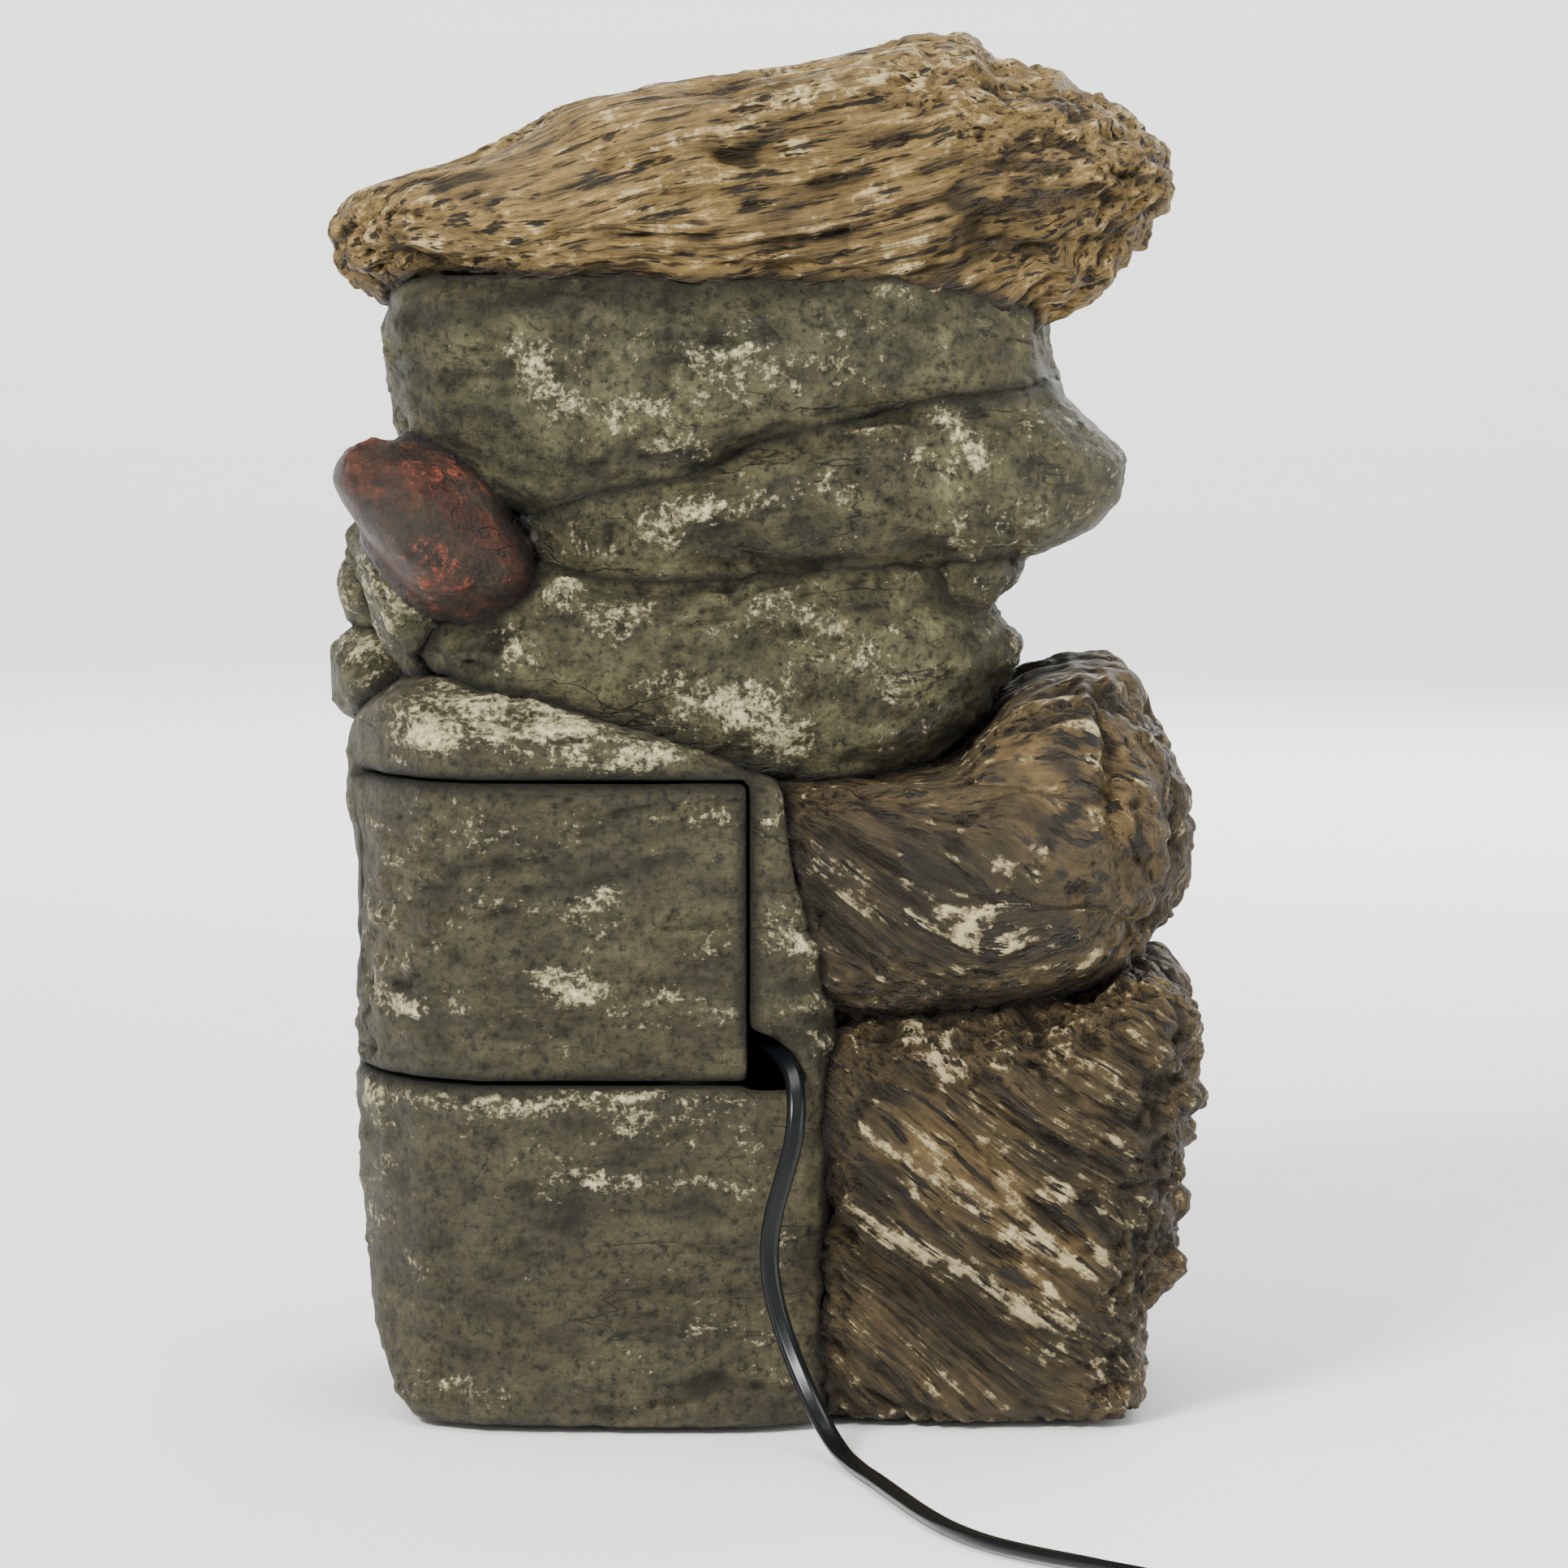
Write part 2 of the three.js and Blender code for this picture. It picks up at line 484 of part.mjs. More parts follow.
const housing = pumpHousing();
const coreLegs = box([13, 40], [-7, 7], [9.7, 13.3]).add(box([13, 40], [-7, 7], [-13.3, -9.7]));
const core = coreLegs.add(box([36.4, 40], [-7, 7], [-13, 13]));
const windingHole = box([36, 40.4], [-7.4, 7.4], [-20, 20]);
const winding = box([33.4, 42.6], [-10.4, 10.4], [-9.2, 9.2]).subtract(windingHole);
add('pump_housing', toGeometry(housing), 'blackPlastic', pump);
add('pump_head', toGeometry(pumpHead()), 'blackPlastic', pump);
add('intake_cover', toGeometry(intakeCover()), 'blackPlastic', pump);
add('stator_core', toGeometry(core), 'steel', pump);
add('stator_coil', toGeometry(winding), 'copper', pump);
add('pump_back_plate', toGeometry(box([43.4, 46], [-12.7, 12.7], [-13.7, 13.7])), 'blackPlastic', pump);
const magnet = cylinder(6.1, 'x', [9, 28.6]).subtract(cylinder(1.4, 'x', [0, 40]));
add('rotor_magnet', toGeometry(magnet), 'magnet', pump);
add('impeller', toGeometry(impeller()), 'blackPlastic', pump);
add('rotor_shaft', toGeometry(cylinder(1.2, 'x', [-4, 31], [0, 0], 16)), 'ceramic', pump);
const bush = (radius, span) => cylinder(radius, 'x', span).subtract(cylinder(1.5, 'x', [-10, 40]));
add('shaft_bush_front', toGeometry(bush(2.6, [-4.7, -2])), 'blackRubber', pump);
add('shaft_bush_rear', toGeometry(bush(5, [29, 31.2])), 'blackRubber', pump);
const sealRing = lathe([[12.4, -0.5], [13.6, -0.5], [13.6, 0.5], [12.4, 0.5], [12.4, -0.5]], 'x');
add('head_seal', sealRing.translate(joint + gap / 2, 0, 0), 'blackRubber', pump);
const plate = box([-21.9, -20.3], [-6, 6], [-11, 11.6]).add(box([-24, -21.5], [-1.5, 1.5], [-6, 6]));
add('flow_slider', toGeometry(plate), 'blackPlastic', pump);
const cupProfile = [[0, 0], [2.4, 0], [2.4, -1.8], [5.6, -5.7], [4.8, -5.7], [1.6, -3], [0, -3]];
[[14, -11], [14, 11], [39, -11], [39, 11]].forEach(([x, y], i) => {
  const cup = add(`suction_cup_${i + 1}`, lathe(cupProfile, 'z', 14), 'blackRubber', pump);
  cup.position.set(x, y, -half - gap);
});
const glandProfile = [[0, 0], [4, 0], [4, 2], [3.2, 3], [2.3, 13], [0, 13]];
const gland = add('cord_gland', lathe(glandProfile, 'z', 14), 'blackRubber', pump);
gland.position.set(38, 0, half + gap);

// Cord: from the pump's gland to the notch beside the cover, down the back and along the ground
const cordInside = [
  [52, 16, 62], [52, 16.6, 65], [49, 24, 68.5], [42, 33, 71], [31, 41, 72.5], [19, 46.5, 74.5],
  [9, 50, 77], [2.6, 51, 78.4],
];
const cordRoute = [
  [-0.6, 52.6, 78.2], [-2.6, 55.6, 76.9], [-4.6, 59.4, 75.6], [-6.2, 63.6, 73.4], [-7.1, 67.4, 69.8],
  [-7.2, 70, 65], [-6.4, 71.2, 59], [-4.6, 71.8, 52.5], [-2.7, 72.2, 45.5], [-1.9, 72.7, 38.5],
  [-2.6, 74, 31], [-4.8, 76.6, 23], [-8.2, 80.8, 14.8], [-12, 87, 7.6], [-15.6, 95.5, 3.2],
  [-19, 106, 1.9], [-22.6, 119, 1.9], [-26.6, 134, 1.9], [-30.8, 149, 1.9], [-35.6, 162.6, 1.9],
  [-42, 174.4, 1.9], [-50.4, 184.2, 1.9], [-60, 193, 1.9], [-70, 203, 1.9], [-79.6, 215, 1.9],
  [-87.4, 229, 2.3], [-92.2, 243, 2.8],
];
const coilOuter = coil.turnRadius + (coil.turnsAcross * cordWidth) / 2;
const coilInner = coil.turnRadius - (coil.turnsAcross * cordWidth) / 2;
const coilHeight = coil.layers * cordWidth;
const cordTail = [
  [coil.x + 27.8, coil.y + 17, 7], [-34.5, 279.6, 7.4], [-31, 279.05, 7.8], [-27.6, 279, 8],
];
add('cord_inside', tube(cordInside, cordWidth / 2, 12, 0, 8), 'blackRubber');
add('cord_lead', tube(cordRoute, cordWidth / 2, 36, 0, 8), 'blackRubber');
const coilProfile = [
  [coilInner, 0], [coilOuter, 0], [coilOuter, coilHeight], [coilInner, coilHeight], [coilInner, 0],
];
const cordCoil = add('cord_coil', lathe(coilProfile, 'z', 28), 'blackRubber');
cordCoil.position.set(coil.x, coil.y, coil.bottom);

// A strap tied round the coil's turns
function strap() {
  const middle = coil.x + coil.turnRadius;
  const halfWidth = (coilOuter - coilInner) / 2;
  const side = (grow) => [middle - halfWidth - grow, middle + halfWidth + grow];
  const coilTop = coil.bottom + coilHeight;
  const outside = box(side(1.4), [coil.y - 3, coil.y + 3], [0.1, coilTop + 1.3]);
  return outside.subtract(box(side(0.5), [coil.y - 5, coil.y + 5], [coil.bottom - 0.4, coilTop + 0.4]));
}
add('cord_strap', toGeometry(strap()), 'blackRubber');

// Plug-in power adapter at the end of the cord
function adapterBody() {
  const corner = 5;
  const [a, b] = [adapter.length / 2 - corner, adapter.width / 2 - corner];
  const outline = new THREE.Shape();
  outline.absarc(a, b, corner, 0, Math.PI / 2);
  outline.absarc(-a, b, corner, Math.PI / 2, Math.PI);
  outline.absarc(-a, -b, corner, Math.PI, Math.PI * 1.5);
  outline.absarc(a, -b, corner, Math.PI * 1.5, Math.PI * 2);
  return new THREE.ExtrudeGeometry(outline, { depth: adapter.height, bevelEnabled: false, curveSegments: 6 });
}
const supply = new THREE.Group();
supply.position.set(adapter.x, adapter.y, 0);
fountain.add(supply);
add('adapter_body', adapterBody(), 'blackPlastic', supply);
[-6.35, 6.35].forEach((y, i) => {
  const blade = new THREE.BoxGeometry(16, 1.5, 6.3);
  blade.translate(adapter.length / 2 + gap + 8, y, adapter.height / 2);
  add(`adapter_blade_${i + 1}`, blade, 'brass', supply);
});
const relief = lathe([[0, 0], [3.6, 0], [3, 3], [2.2, 12], [0, 12]], 'x', 14).rotateZ(Math.PI);
const reliefMesh = add('adapter_strain_relief', relief, 'blackRubber', supply);
reliefMesh.position.set(-adapter.length / 2 - gap, 0, adapter.height / 2);
add('cord_tail', tube(cordTail, cordWidth / 2, 6, 0, 8), 'blackRubber');

export default fountain;
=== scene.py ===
import math
import bpy
import numpy as np
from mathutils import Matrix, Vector
from mathutils.bvhtree import BVHTree


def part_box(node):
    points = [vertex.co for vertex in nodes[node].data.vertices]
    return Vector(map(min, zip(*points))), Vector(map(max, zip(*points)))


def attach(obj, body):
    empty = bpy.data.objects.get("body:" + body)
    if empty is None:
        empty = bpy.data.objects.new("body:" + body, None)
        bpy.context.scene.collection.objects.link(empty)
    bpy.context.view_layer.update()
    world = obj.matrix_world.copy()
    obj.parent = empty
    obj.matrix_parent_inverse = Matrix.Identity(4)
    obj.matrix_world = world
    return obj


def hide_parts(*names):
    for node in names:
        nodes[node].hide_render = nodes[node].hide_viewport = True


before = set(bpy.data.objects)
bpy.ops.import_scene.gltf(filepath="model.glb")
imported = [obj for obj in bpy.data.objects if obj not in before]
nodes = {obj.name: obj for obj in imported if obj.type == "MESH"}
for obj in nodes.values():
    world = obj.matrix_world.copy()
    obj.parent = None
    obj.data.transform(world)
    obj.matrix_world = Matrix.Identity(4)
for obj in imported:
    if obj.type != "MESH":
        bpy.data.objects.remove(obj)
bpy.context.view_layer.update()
mm = 0.001


# Camera

viewSettings = {"aside": -4.8, "distance": 1260, "height": 235, "pitch": 4.985, "lens": 139.1}


def makeCamera():
    data = bpy.data.cameras.new("backCamera")
    data.lens = viewSettings["lens"]
    camera = bpy.data.objects.new("backCamera", data)
    bpy.context.scene.collection.objects.link(camera)
    place = [viewSettings["aside"], viewSettings["distance"], viewSettings["height"]]
    camera.location = Vector(place) * mm
    camera.rotation_euler = (math.radians(90 - viewSettings["pitch"]), 0, math.pi)
    bpy.context.scene.camera = camera


makeCamera()
print("camera ready")


# Shapes

def makeObject(name, points, faces, smooth=True):
    mesh = bpy.data.meshes.new(name)
    mesh.from_pydata([tuple(p) for p in points], [], [tuple(f) for f in faces])
    if smooth:
        mesh.shade_smooth()
    made = bpy.data.objects.new(name, mesh)
    bpy.context.scene.collection.objects.link(made)
    return made


# A centripetal curve through the points, resampled evenly; everything in millimetres
def smoothPath(points, spacing):
    points = np.array(points, float)
    ends = [2 * points[0] - points[1], 2 * points[-1] - points[-2]]
    points = np.vstack([ends[0], points, ends[1]])
    line = []
    for i in range(1, len(points) - 2):
        p = points[i - 1:i + 3]
        t = np.concatenate([[0], np.cumsum(np.linalg.norm(np.diff(p, axis=0), axis=1) ** 0.5)])
        at = np.linspace(t[1], t[2], 24, endpoint=False)[:, None]
        a = [((t[k + 1] - at) * p[k] + (at - t[k]) * p[k + 1]) / (t[k + 1] - t[k]) for k in range(3)]
        b = [((t[k + 2] - at) * a[k] + (at - t[k]) * a[k + 1]) / (t[k + 2] - t[k]) for k in range(2)]
        line.append(((t[2] - at) * b[0] + (at - t[1]) * b[1]) / (t[2] - t[1]))
    line = np.vstack(line + [points[-2:-1]])
    along = np.concatenate([[0], np.cumsum(np.linalg.norm(np.diff(line, axis=0), axis=1))])
    at = np.linspace(0, along[-1], max(2, round(along[-1] / spacing) + 1))
    return np.stack([np.interp(at, along, line[:, k]) for k in range(3)], axis=1)


# Sweeps a closed section, given as (side, up) pairs, along a path; twist turns it, in radians at each point
def sweep(name, path, section, twist=None, capped=True):
    path = np.array(path, float)
    tangent = np.gradient(path, axis=0)
    tangent /= np.linalg.norm(tangent, axis=1)[:, None]
    steep = np.clip(np.abs(tangent[:, 2:3]) * 1.6, 0, 1)
    outward = steep * np.array([0, 1.0, 0.1]) + (1 - steep) * np.array([0, 0, 1.0])
    side = np.cross(tangent, outward)
    side /= np.linalg.norm(side, axis=1)[:, None]
    up = np.cross(side, tangent)
    turn = np.zeros(len(path)) if twist is None else twist
    cos, sin = np.cos(turn)[:, None], np.sin(turn)[:, None]
    side, up = side * cos + up * sin, up * cos - side * sin
    section = np.array(section, float)
    count, around = len(path), len(section)
    rings = path[:, None] + section[None, :, :1] * side[:, None] + section[None, :, 1:] * up[:, None]
    faces = []
    for low in range(0, (count - 1) * around, around):
        high = low + around
        for k in range(around):
            after = (k + 1) % around
            faces.append((low + k, low + after, high + after, high + k))
    if capped:
        faces.append(tuple(reversed(range(around))))
        faces.append(tuple((count - 1) * around + k for k in range(around)))
    made = makeObject(name, rings.reshape(-1, 3) * mm, faces)
    outside(made)
    return made


# Turns every face of a closed mesh outwards
def outside(made):
    mesh = made.data
    mesh.calc_loop_triangles()
    corners = np.array([t.vertices for t in mesh.loop_triangles])
    points = np.array([v.co for v in mesh.vertices])
    a, b, c = (points[corners[:, i]] for i in range(3))
    if (np.cross(a, b) * c).sum() < 0:
        mesh.flip_normals()


# Turns a profile of (radius, height) points in millimetres round an axis, with its corners softened
def turned(name, profile, axis, place, soft=0.3, steps=56):
    outline = []
    closed = profile[0] == profile[-1]
    corners = profile[:-1] if closed else profile
    for i, corner in enumerate(corners):
        here = np.array(corner, float)
        if not closed and i in (0, len(corners) - 1):
            outline.append(here)
            continue
        before = np.array(corners[i - 1], float) - here
        after = np.array(corners[(i + 1) % len(corners)], float) - here
        cut = [min(soft, np.linalg.norm(v) * 0.45) / np.linalg.norm(v) for v in (before, after)]
        a, b = here + before * cut[0], here + after * cut[1]
        outline += [a * (1 - t) ** 2 + here * 2 * t * (1 - t) + b * t * t for t in (0, 0.25, 0.5, 0.75, 1)]
    points, rings = [], []
    for radius, height in outline:
        if radius < 1e-6:
            rings.append([len(points)] * steps)
            points.append((0, 0, height))
            continue
        rings.append(list(range(len(points), len(points) + steps)))
        turns = [2 * math.pi * k / steps for k in range(steps)]
        points += [(radius * math.cos(t), radius * math.sin(t), height) for t in turns]
    pairs = list(zip(rings, rings[1:])) + ([(rings[-1], rings[0])] if closed else [])
    faces = []
    for low, high in pairs:
        for k in range(steps):
            n = (k + 1) % steps
            face = list(dict.fromkeys([low[k], low[n], high[n], high[k]]))
            if len(face) > 2:
                faces.append(face)
    order = {"x": (2, 0, 1), "y": (0, 2, 1), "z": (0, 1, 2)}[axis]
    spun = np.array(points)[:, order]
    made = makeObject(name, (spun + np.array(place)) * mm, faces)
    outside(made)
    return made


def softenEdges(piece, width, angle=35, segments=2):
    weld = piece.modifiers.new("weld", "WELD")
    weld.merge_threshold = 1e-5
    bevel = piece.modifiers.new("bevel", "BEVEL")
    bevel.width = width * mm
    bevel.segments = segments
    bevel.limit_method = "ANGLE"
    bevel.angle_limit = math.radians(angle)
    bevel.harden_normals = True


# Power cord: a flat two-core lead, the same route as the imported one, in millimetres

cordSettings = {
    "width": 3.8, "thickness": 2.6, "groove": 0.24, "grooveWidth": 0.42, "spacing": 1.3, "around": 20,
    "turnOver": 60, "length": 1.66,
}
insideRoute = [
    [52, 16, 62], [52, 16.6, 65], [49, 24, 68.5], [42, 33, 71], [31, 41, 72.5], [19, 46.5, 74.5],
    [9, 50, 77], [2.6, 51, 78.4],
]
leadRoute = [
    [-0.6, 52.6, 78.2], [-2.6, 55.6, 76.9], [-4.6, 59.4, 75.6], [-6.2, 63.6, 73.4], [-7.1, 67.4, 69.8],
    [-7.2, 70, 65], [-6.4, 71.2, 59], [-4.6, 71.8, 52.5], [-2.7, 72.2, 45.5], [-1.9, 72.7, 38.5],
    [-2.6, 74, 31], [-4.8, 76.6, 23], [-8.2, 80.8, 14.8], [-12, 87, 7.6], [-15.6, 95.5, 3.2],
    [-19, 106, 1.9], [-22.6, 119, 1.9], [-26.6, 134, 1.9], [-30.8, 149, 1.9], [-35.6, 162.6, 1.9],
    [-42, 174.4, 1.9], [-50.4, 184.2, 1.9], [-60, 193, 1.9], [-70, 203, 1.9], [-79.6, 215, 1.9],
    [-87.4, 229, 2.3], [-92.2, 243, 2.8],
]
coilSettings = {"inner": 13.4, "turns": 10 + 1 / 3, "below": 5, "climb": 0.5, "pointsPerTurn": 24}


# The coil: turns wind inwards on the ground, climb, and wind outwards on top
def coilPoints():
    low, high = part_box("cord_coil")
    centre = (low + high) / 2 / mm
    outer = (high.x - low.x) / 2 / mm - cordSettings["width"] / 2
    inner = coilSettings["inner"]
    bottom = low.z / mm + cordSettings["width"] / 2
    top = high.z / mm - cordSettings["width"] / 2
    below, climb = coilSettings["below"], coilSettings["climb"]
    points = []
    for i in range(round(coilSettings["turns"] * coilSettings["pointsPerTurn"]) + 1):
        t = i / coilSettings["pointsPerTurn"]
        climbed = min(1, max(0, (t - below) / climb))
        climbed = climbed * climbed * (3 - 2 * climbed)
        above = coilSettings["turns"] - below - climb
        inwards = outer + (inner - outer) * min(1, t / below)
        outwards = max(0, t - below - climb) / above
        radius = inwards + (outer - inner) * outwards
        turn = math.pi - 2 * math.pi * t
        height = bottom + (top - bottom) * climbed
        points.append([centre.x + radius * math.cos(turn), centre.y + radius * math.sin(turn), height])
    return points


def makeCord():
    low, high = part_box("adapter_strain_relief")
    reliefEnd = np.array([low.x / mm - 0.2, (low.y + high.y) / 2 / mm, (low.z + high.z) / 2 / mm])
    approach = [[-10.6, 2, -1], [-6.9, 0.6, -0.6], [-3.4, 0.05, -0.2], [0, 0, 0]]
    tail = [list(reliefEnd + step) for step in approach]
    path = smoothPath(leadRoute + coilPoints() + tail, cordSettings["spacing"])
    half, thick = cordSettings["width"] / 2, cordSettings["thickness"] / 2
    section = []
    for k in range(cordSettings["around"]):
        turn = 2 * math.pi * k / cordSettings["around"]
        side = half * math.copysign(abs(math.cos(turn)) ** 0.9, math.cos(turn))
        dip = 1 - cordSettings["groove"] * math.exp(-(side / cordSettings["grooveWidth"]) ** 2)
        section.append((side, thick * math.sin(turn) * dip))
    # the lead lies flat on the ground and stands on edge in the coil
    reached = np.linalg.norm(path[:, :2] - np.array(leadRoute[-1][:2]), axis=1).argmin()
    turnOver = cordSettings["turnOver"]
    edge = np.clip((np.arange(len(path)) - reached + turnOver) / turnOver, 0, 1)
    twist = math.pi / 2 * edge * edge * (3 - 2 * edge)
    cord = sweep("power_cord", path, section, twist)
    inside = sweep("cord_to_pump", smoothPath(insideRoute, cordSettings["spacing"]), section)
    length = np.linalg.norm(np.diff(path, axis=0), axis=1).sum() * mm
    print("cord length", round(float(length), 3))
    return cord, inside, path


cord, cordInside, cordPath = makeCord()
print("cord laid")


# Noise on a hashed lattice, so that each run gives the same casting; points and sizes in millimetres

def lattice(points, seed):
    cell = np.floor(points)
    part = points - cell
    part = part * part * (3 - 2 * part)
    whole = cell.astype(np.int64)
    total = np.zeros(len(points))
    for corner in range(8):
        step = np.array([corner & 1, corner >> 1 & 1, corner >> 2 & 1])
        key = (whole + step).astype(np.uint32)
        mixed = key[:, 0] * np.uint32(0x8DA6B343) ^ key[:, 1] * np.uint32(0xD8163841)
        mixed ^= key[:, 2] * np.uint32(0xCB1AB31F) ^ np.uint32(seed * 7919 + 17)
        for shift, factor in ((15, 0x2C1B3C6D), (12, 0x297A2D39)):
            mixed ^= mixed >> np.uint32(shift)
            mixed *= np.uint32(factor)
        mixed ^= mixed >> np.uint32(15)
        weight = np.prod(np.where(step, part, 1 - part), axis=1)
        total += weight * (mixed / 2.0 ** 31 - 1)
    return total


def noise(points, size, seed, layers=1, keep=0.5):
    points = points / np.array(size, float)
    total, share, most = 0, 1, 0
    for i in range(layers):
        total = total + share * lattice(points * 2 ** i + 31.7 * i, seed + i)
        most += share
        share *= keep
    return total / most * 1.5


def smoothStep(value, low, high):
    t = np.clip((value - low) / (high - low), 0, 1)
    return t * t * (3 - 2 * t)


# Broken steps, as where stone flakes or bark tears off. Also gives how near each point is to a step's lip
def stepped(value, steps, edge):
    scaled = value * steps
    whole = np.floor(scaled)
    share = scaled - whole
    height = (whole + smoothStep(share, 0, edge)) / steps
    lip = np.exp(-((share - edge) / (edge * 0.9)) ** 2)
    return height, lip


def distanceToLine(points, line):
    best = np.full(len(points), np.inf)
    line = np.array(line, float)
    if len(line) == 1:
        return np.linalg.norm(points - line[0], axis=1)
    for a, b in zip(line, line[1:]):
        along = b - a
        t = np.clip(((points - a) @ along) / (along @ along), 0, 1)
        best = np.minimum(best, np.linalg.norm(points - a - t[:, None] * along, axis=1))
    return best


# Casting surfaces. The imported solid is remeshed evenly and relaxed, and its surface is then sculpted.

def readPoints(mesh):
    points = np.zeros(len(mesh.vertices) * 3, np.float32)
    mesh.vertices.foreach_get("co", points)
    return points.reshape(-1, 3).astype(float) / mm


def readNormals(mesh):
    normals = np.zeros(len(mesh.vertices) * 3, np.float32)
    mesh.vertex_normals.foreach_get("vector", normals)
    return normals.reshape(-1, 3).astype(float)


def writePoints(mesh, points):
    mesh.vertices.foreach_set("co", (points * mm).astype(np.float32).ravel())
    mesh.update()


def remeshed(name, node, voxel):
    made = bpy.data.objects.new(name, nodes[node].data.copy())
    bpy.context.scene.collection.objects.link(made)
    remesh = made.modifiers.new("remesh", "REMESH")
    remesh.mode = "VOXEL"
    remesh.voxel_size = voxel * mm
    mesh = bpy.data.meshes.new_from_object(made.evaluated_get(bpy.context.evaluated_depsgraph_get()))
    made.modifiers.clear()
    made.data = mesh
    mesh.name = name
    mesh.materials.clear()
    mesh.shade_smooth()
    return made


# Moves each point towards its neighbours' middle; weight is 1 where it may move freely
def relax(mesh, points, times, weight=1.0):
    edges = np.zeros(len(mesh.edges) * 2, np.int32)
    mesh.edges.foreach_get("vertices", edges)
    ends = edges.reshape(-1, 2)
    both = np.concatenate([ends[:, 0], ends[:, 1]])
    others = np.concatenate([ends[:, 1], ends[:, 0]])
    count = np.maximum(np.bincount(both, minlength=len(points)), 1)
    share = 0.5 * (np.full(len(points), weight) if np.isscalar(weight) else weight)
    for _ in range(times):
        middle = np.stack([np.bincount(both, points[others, k], len(points)) for k in range(3)], axis=1)
        points = points + (middle / count[:, None] - points) * share[:, None]
    return points


def setAttribute(mesh, name, values):
    vector = values.ndim == 2
    attribute = mesh.attributes.new(name, "FLOAT_VECTOR" if vector else "FLOAT", "POINT")
    attribute.data.foreach_set("vector" if vector else "value", values.astype(np.float32).ravel())


# How close each point is to the castings round it: 1 in the seam, 0 beyond reach
def seamCloseness(points, node, neighbours, reach):
    verts, faces = [], []
    for other in neighbours:
        if other == node:
            continue
        start = len(verts)
        verts += [v.co / mm for v in nodes[other].data.vertices]
        faces += [tuple(start + i for i in p.vertices) for p in nodes[other].data.polygons]
    tree = BVHTree.FromPolygons(verts, faces)
    gone = np.full(len(points), reach * 1.0)
    for i, point in enumerate(points):
        found = tree.find_nearest(point, reach)
        if found[0] is not None:
            gone[i] = found[3]
    return 1 - gone / reach


seamReach = 5.0
castingNodes = [
    "reservoir_casting", "access_cover", "lower_log", "middle_log", "top_log", "upper_stone", "second_stone",
    "third_stone", "wedge_stone", "red_pebble", "side_stone", "rubble_stone_1", "rubble_stone_2", "rock_face",
    "front_branch", "upper_bowl", "middle_bowl", "lower_bowl", "rim_stone_1", "rim_stone_2", "rim_stone_3",
]


# Marks on the back: lines and spots given as shares of a box, across (X) and up (Z).
# Each may lift or sink the surface, smooth it, or add cream paint, tan paint or darkening; the darkening is
# darker paint in places and painted shade along undersides and under the top log.
def handMarks(points, normals, box, marks):
    low, high = np.array(box[0]) / mm, np.array(box[1]) / mm
    flat = points[:, [0, 2]]
    facing = smoothStep(normals[:, 1], -0.15, 0.45)
    result = {key: np.zeros(len(points)) for key in ("lift", "cream", "tan", "smooth", "dark")}
    for mark in marks:
        line = [(low[0] + a * (high[0] - low[0]), low[2] + u * (high[2] - low[2])) for a, u in mark["line"]]
        near = np.exp(-(distanceToLine(flat, line) / mark["reach"]) ** 2) * facing
        result["lift"] += near * mark.get("lift", 0)
        for key in ("cream", "tan", "smooth", "dark"):
            result[key] = np.maximum(result[key], near * mark.get(key, 0))
    return result


def stoneRelief(points, look, seed):
    tilt = math.radians(look.get("tilt", 0))
    along = points[:, 0] * math.cos(tilt) + points[:, 2] * math.sin(tilt)
    across = points[:, 2] * math.cos(tilt) - points[:, 0] * math.sin(tilt)
    laid = np.stack([along, points[:, 1], across], axis=1)
    warp = np.stack([noise(laid, 16, seed + 40 + k, 2) for k in range(3)], axis=1) * 3.5
    size = np.array(look.get("flakeSize", (26, 16, 12)))
    swell = noise(laid, size * 2.4, seed, 2)
    flake, lip = stepped(noise(laid + warp, size, seed + 5, 3), 2.6, 0.16)
    chips, chipLip = stepped(noise(laid + warp * 0.6, size * 0.42, seed + 11, 2), 2.2, 0.22)
    rough = noise(laid, (5, 4, 3.2), seed + 17, 3, 0.6)
    crack = 1 - smoothStep(np.abs(noise(laid + warp, size * (2.2, 1.2, 0.9), seed + 23, 3)), 0.0, 0.05)
    worn = smoothStep(noise(laid, size * 1.3, seed + 29, 2), -0.35, 0.35)
    height = swell * look.get("swell", 1.1) + flake * look.get("flake", 1.9) * worn
    height += chips * look.get("chip", 1.0) * worn + rough * look.get("rough", 0.5)
    height -= crack * look.get("crack", 1.1) * worn
    relief = flake * 0.5 * worn + chips * 0.5 * worn + rough * 0.55 - crack * 0.8
    return height, relief, np.maximum(lip, chipLip * 0.8) * worn, laid


# The grain's own directions: along, across and through the wood
def grainDirections(points, look, box):
    if "fan" in look:
        low, high = np.array(box[0]) / mm, np.array(box[1]) / mm
        across, up = look["fan"]
        origin = (low[0] + across * (high[0] - low[0]), low[2] + up * (high[2] - low[2]))
        x, z = origin[0] - points[:, 0], points[:, 2] - origin[1]
        return np.stack([np.hypot(x, z), np.arctan2(z, x) * look["fanReach"], points[:, 1]], axis=1)
    tilt = math.radians(look["tilt"])
    along = -points[:, 0] * math.cos(tilt) + points[:, 2] * math.sin(tilt)
    across = points[:, 2] * math.cos(tilt) + points[:, 0] * math.sin(tilt)
    return np.stack([along, across, points[:, 1]], axis=1)


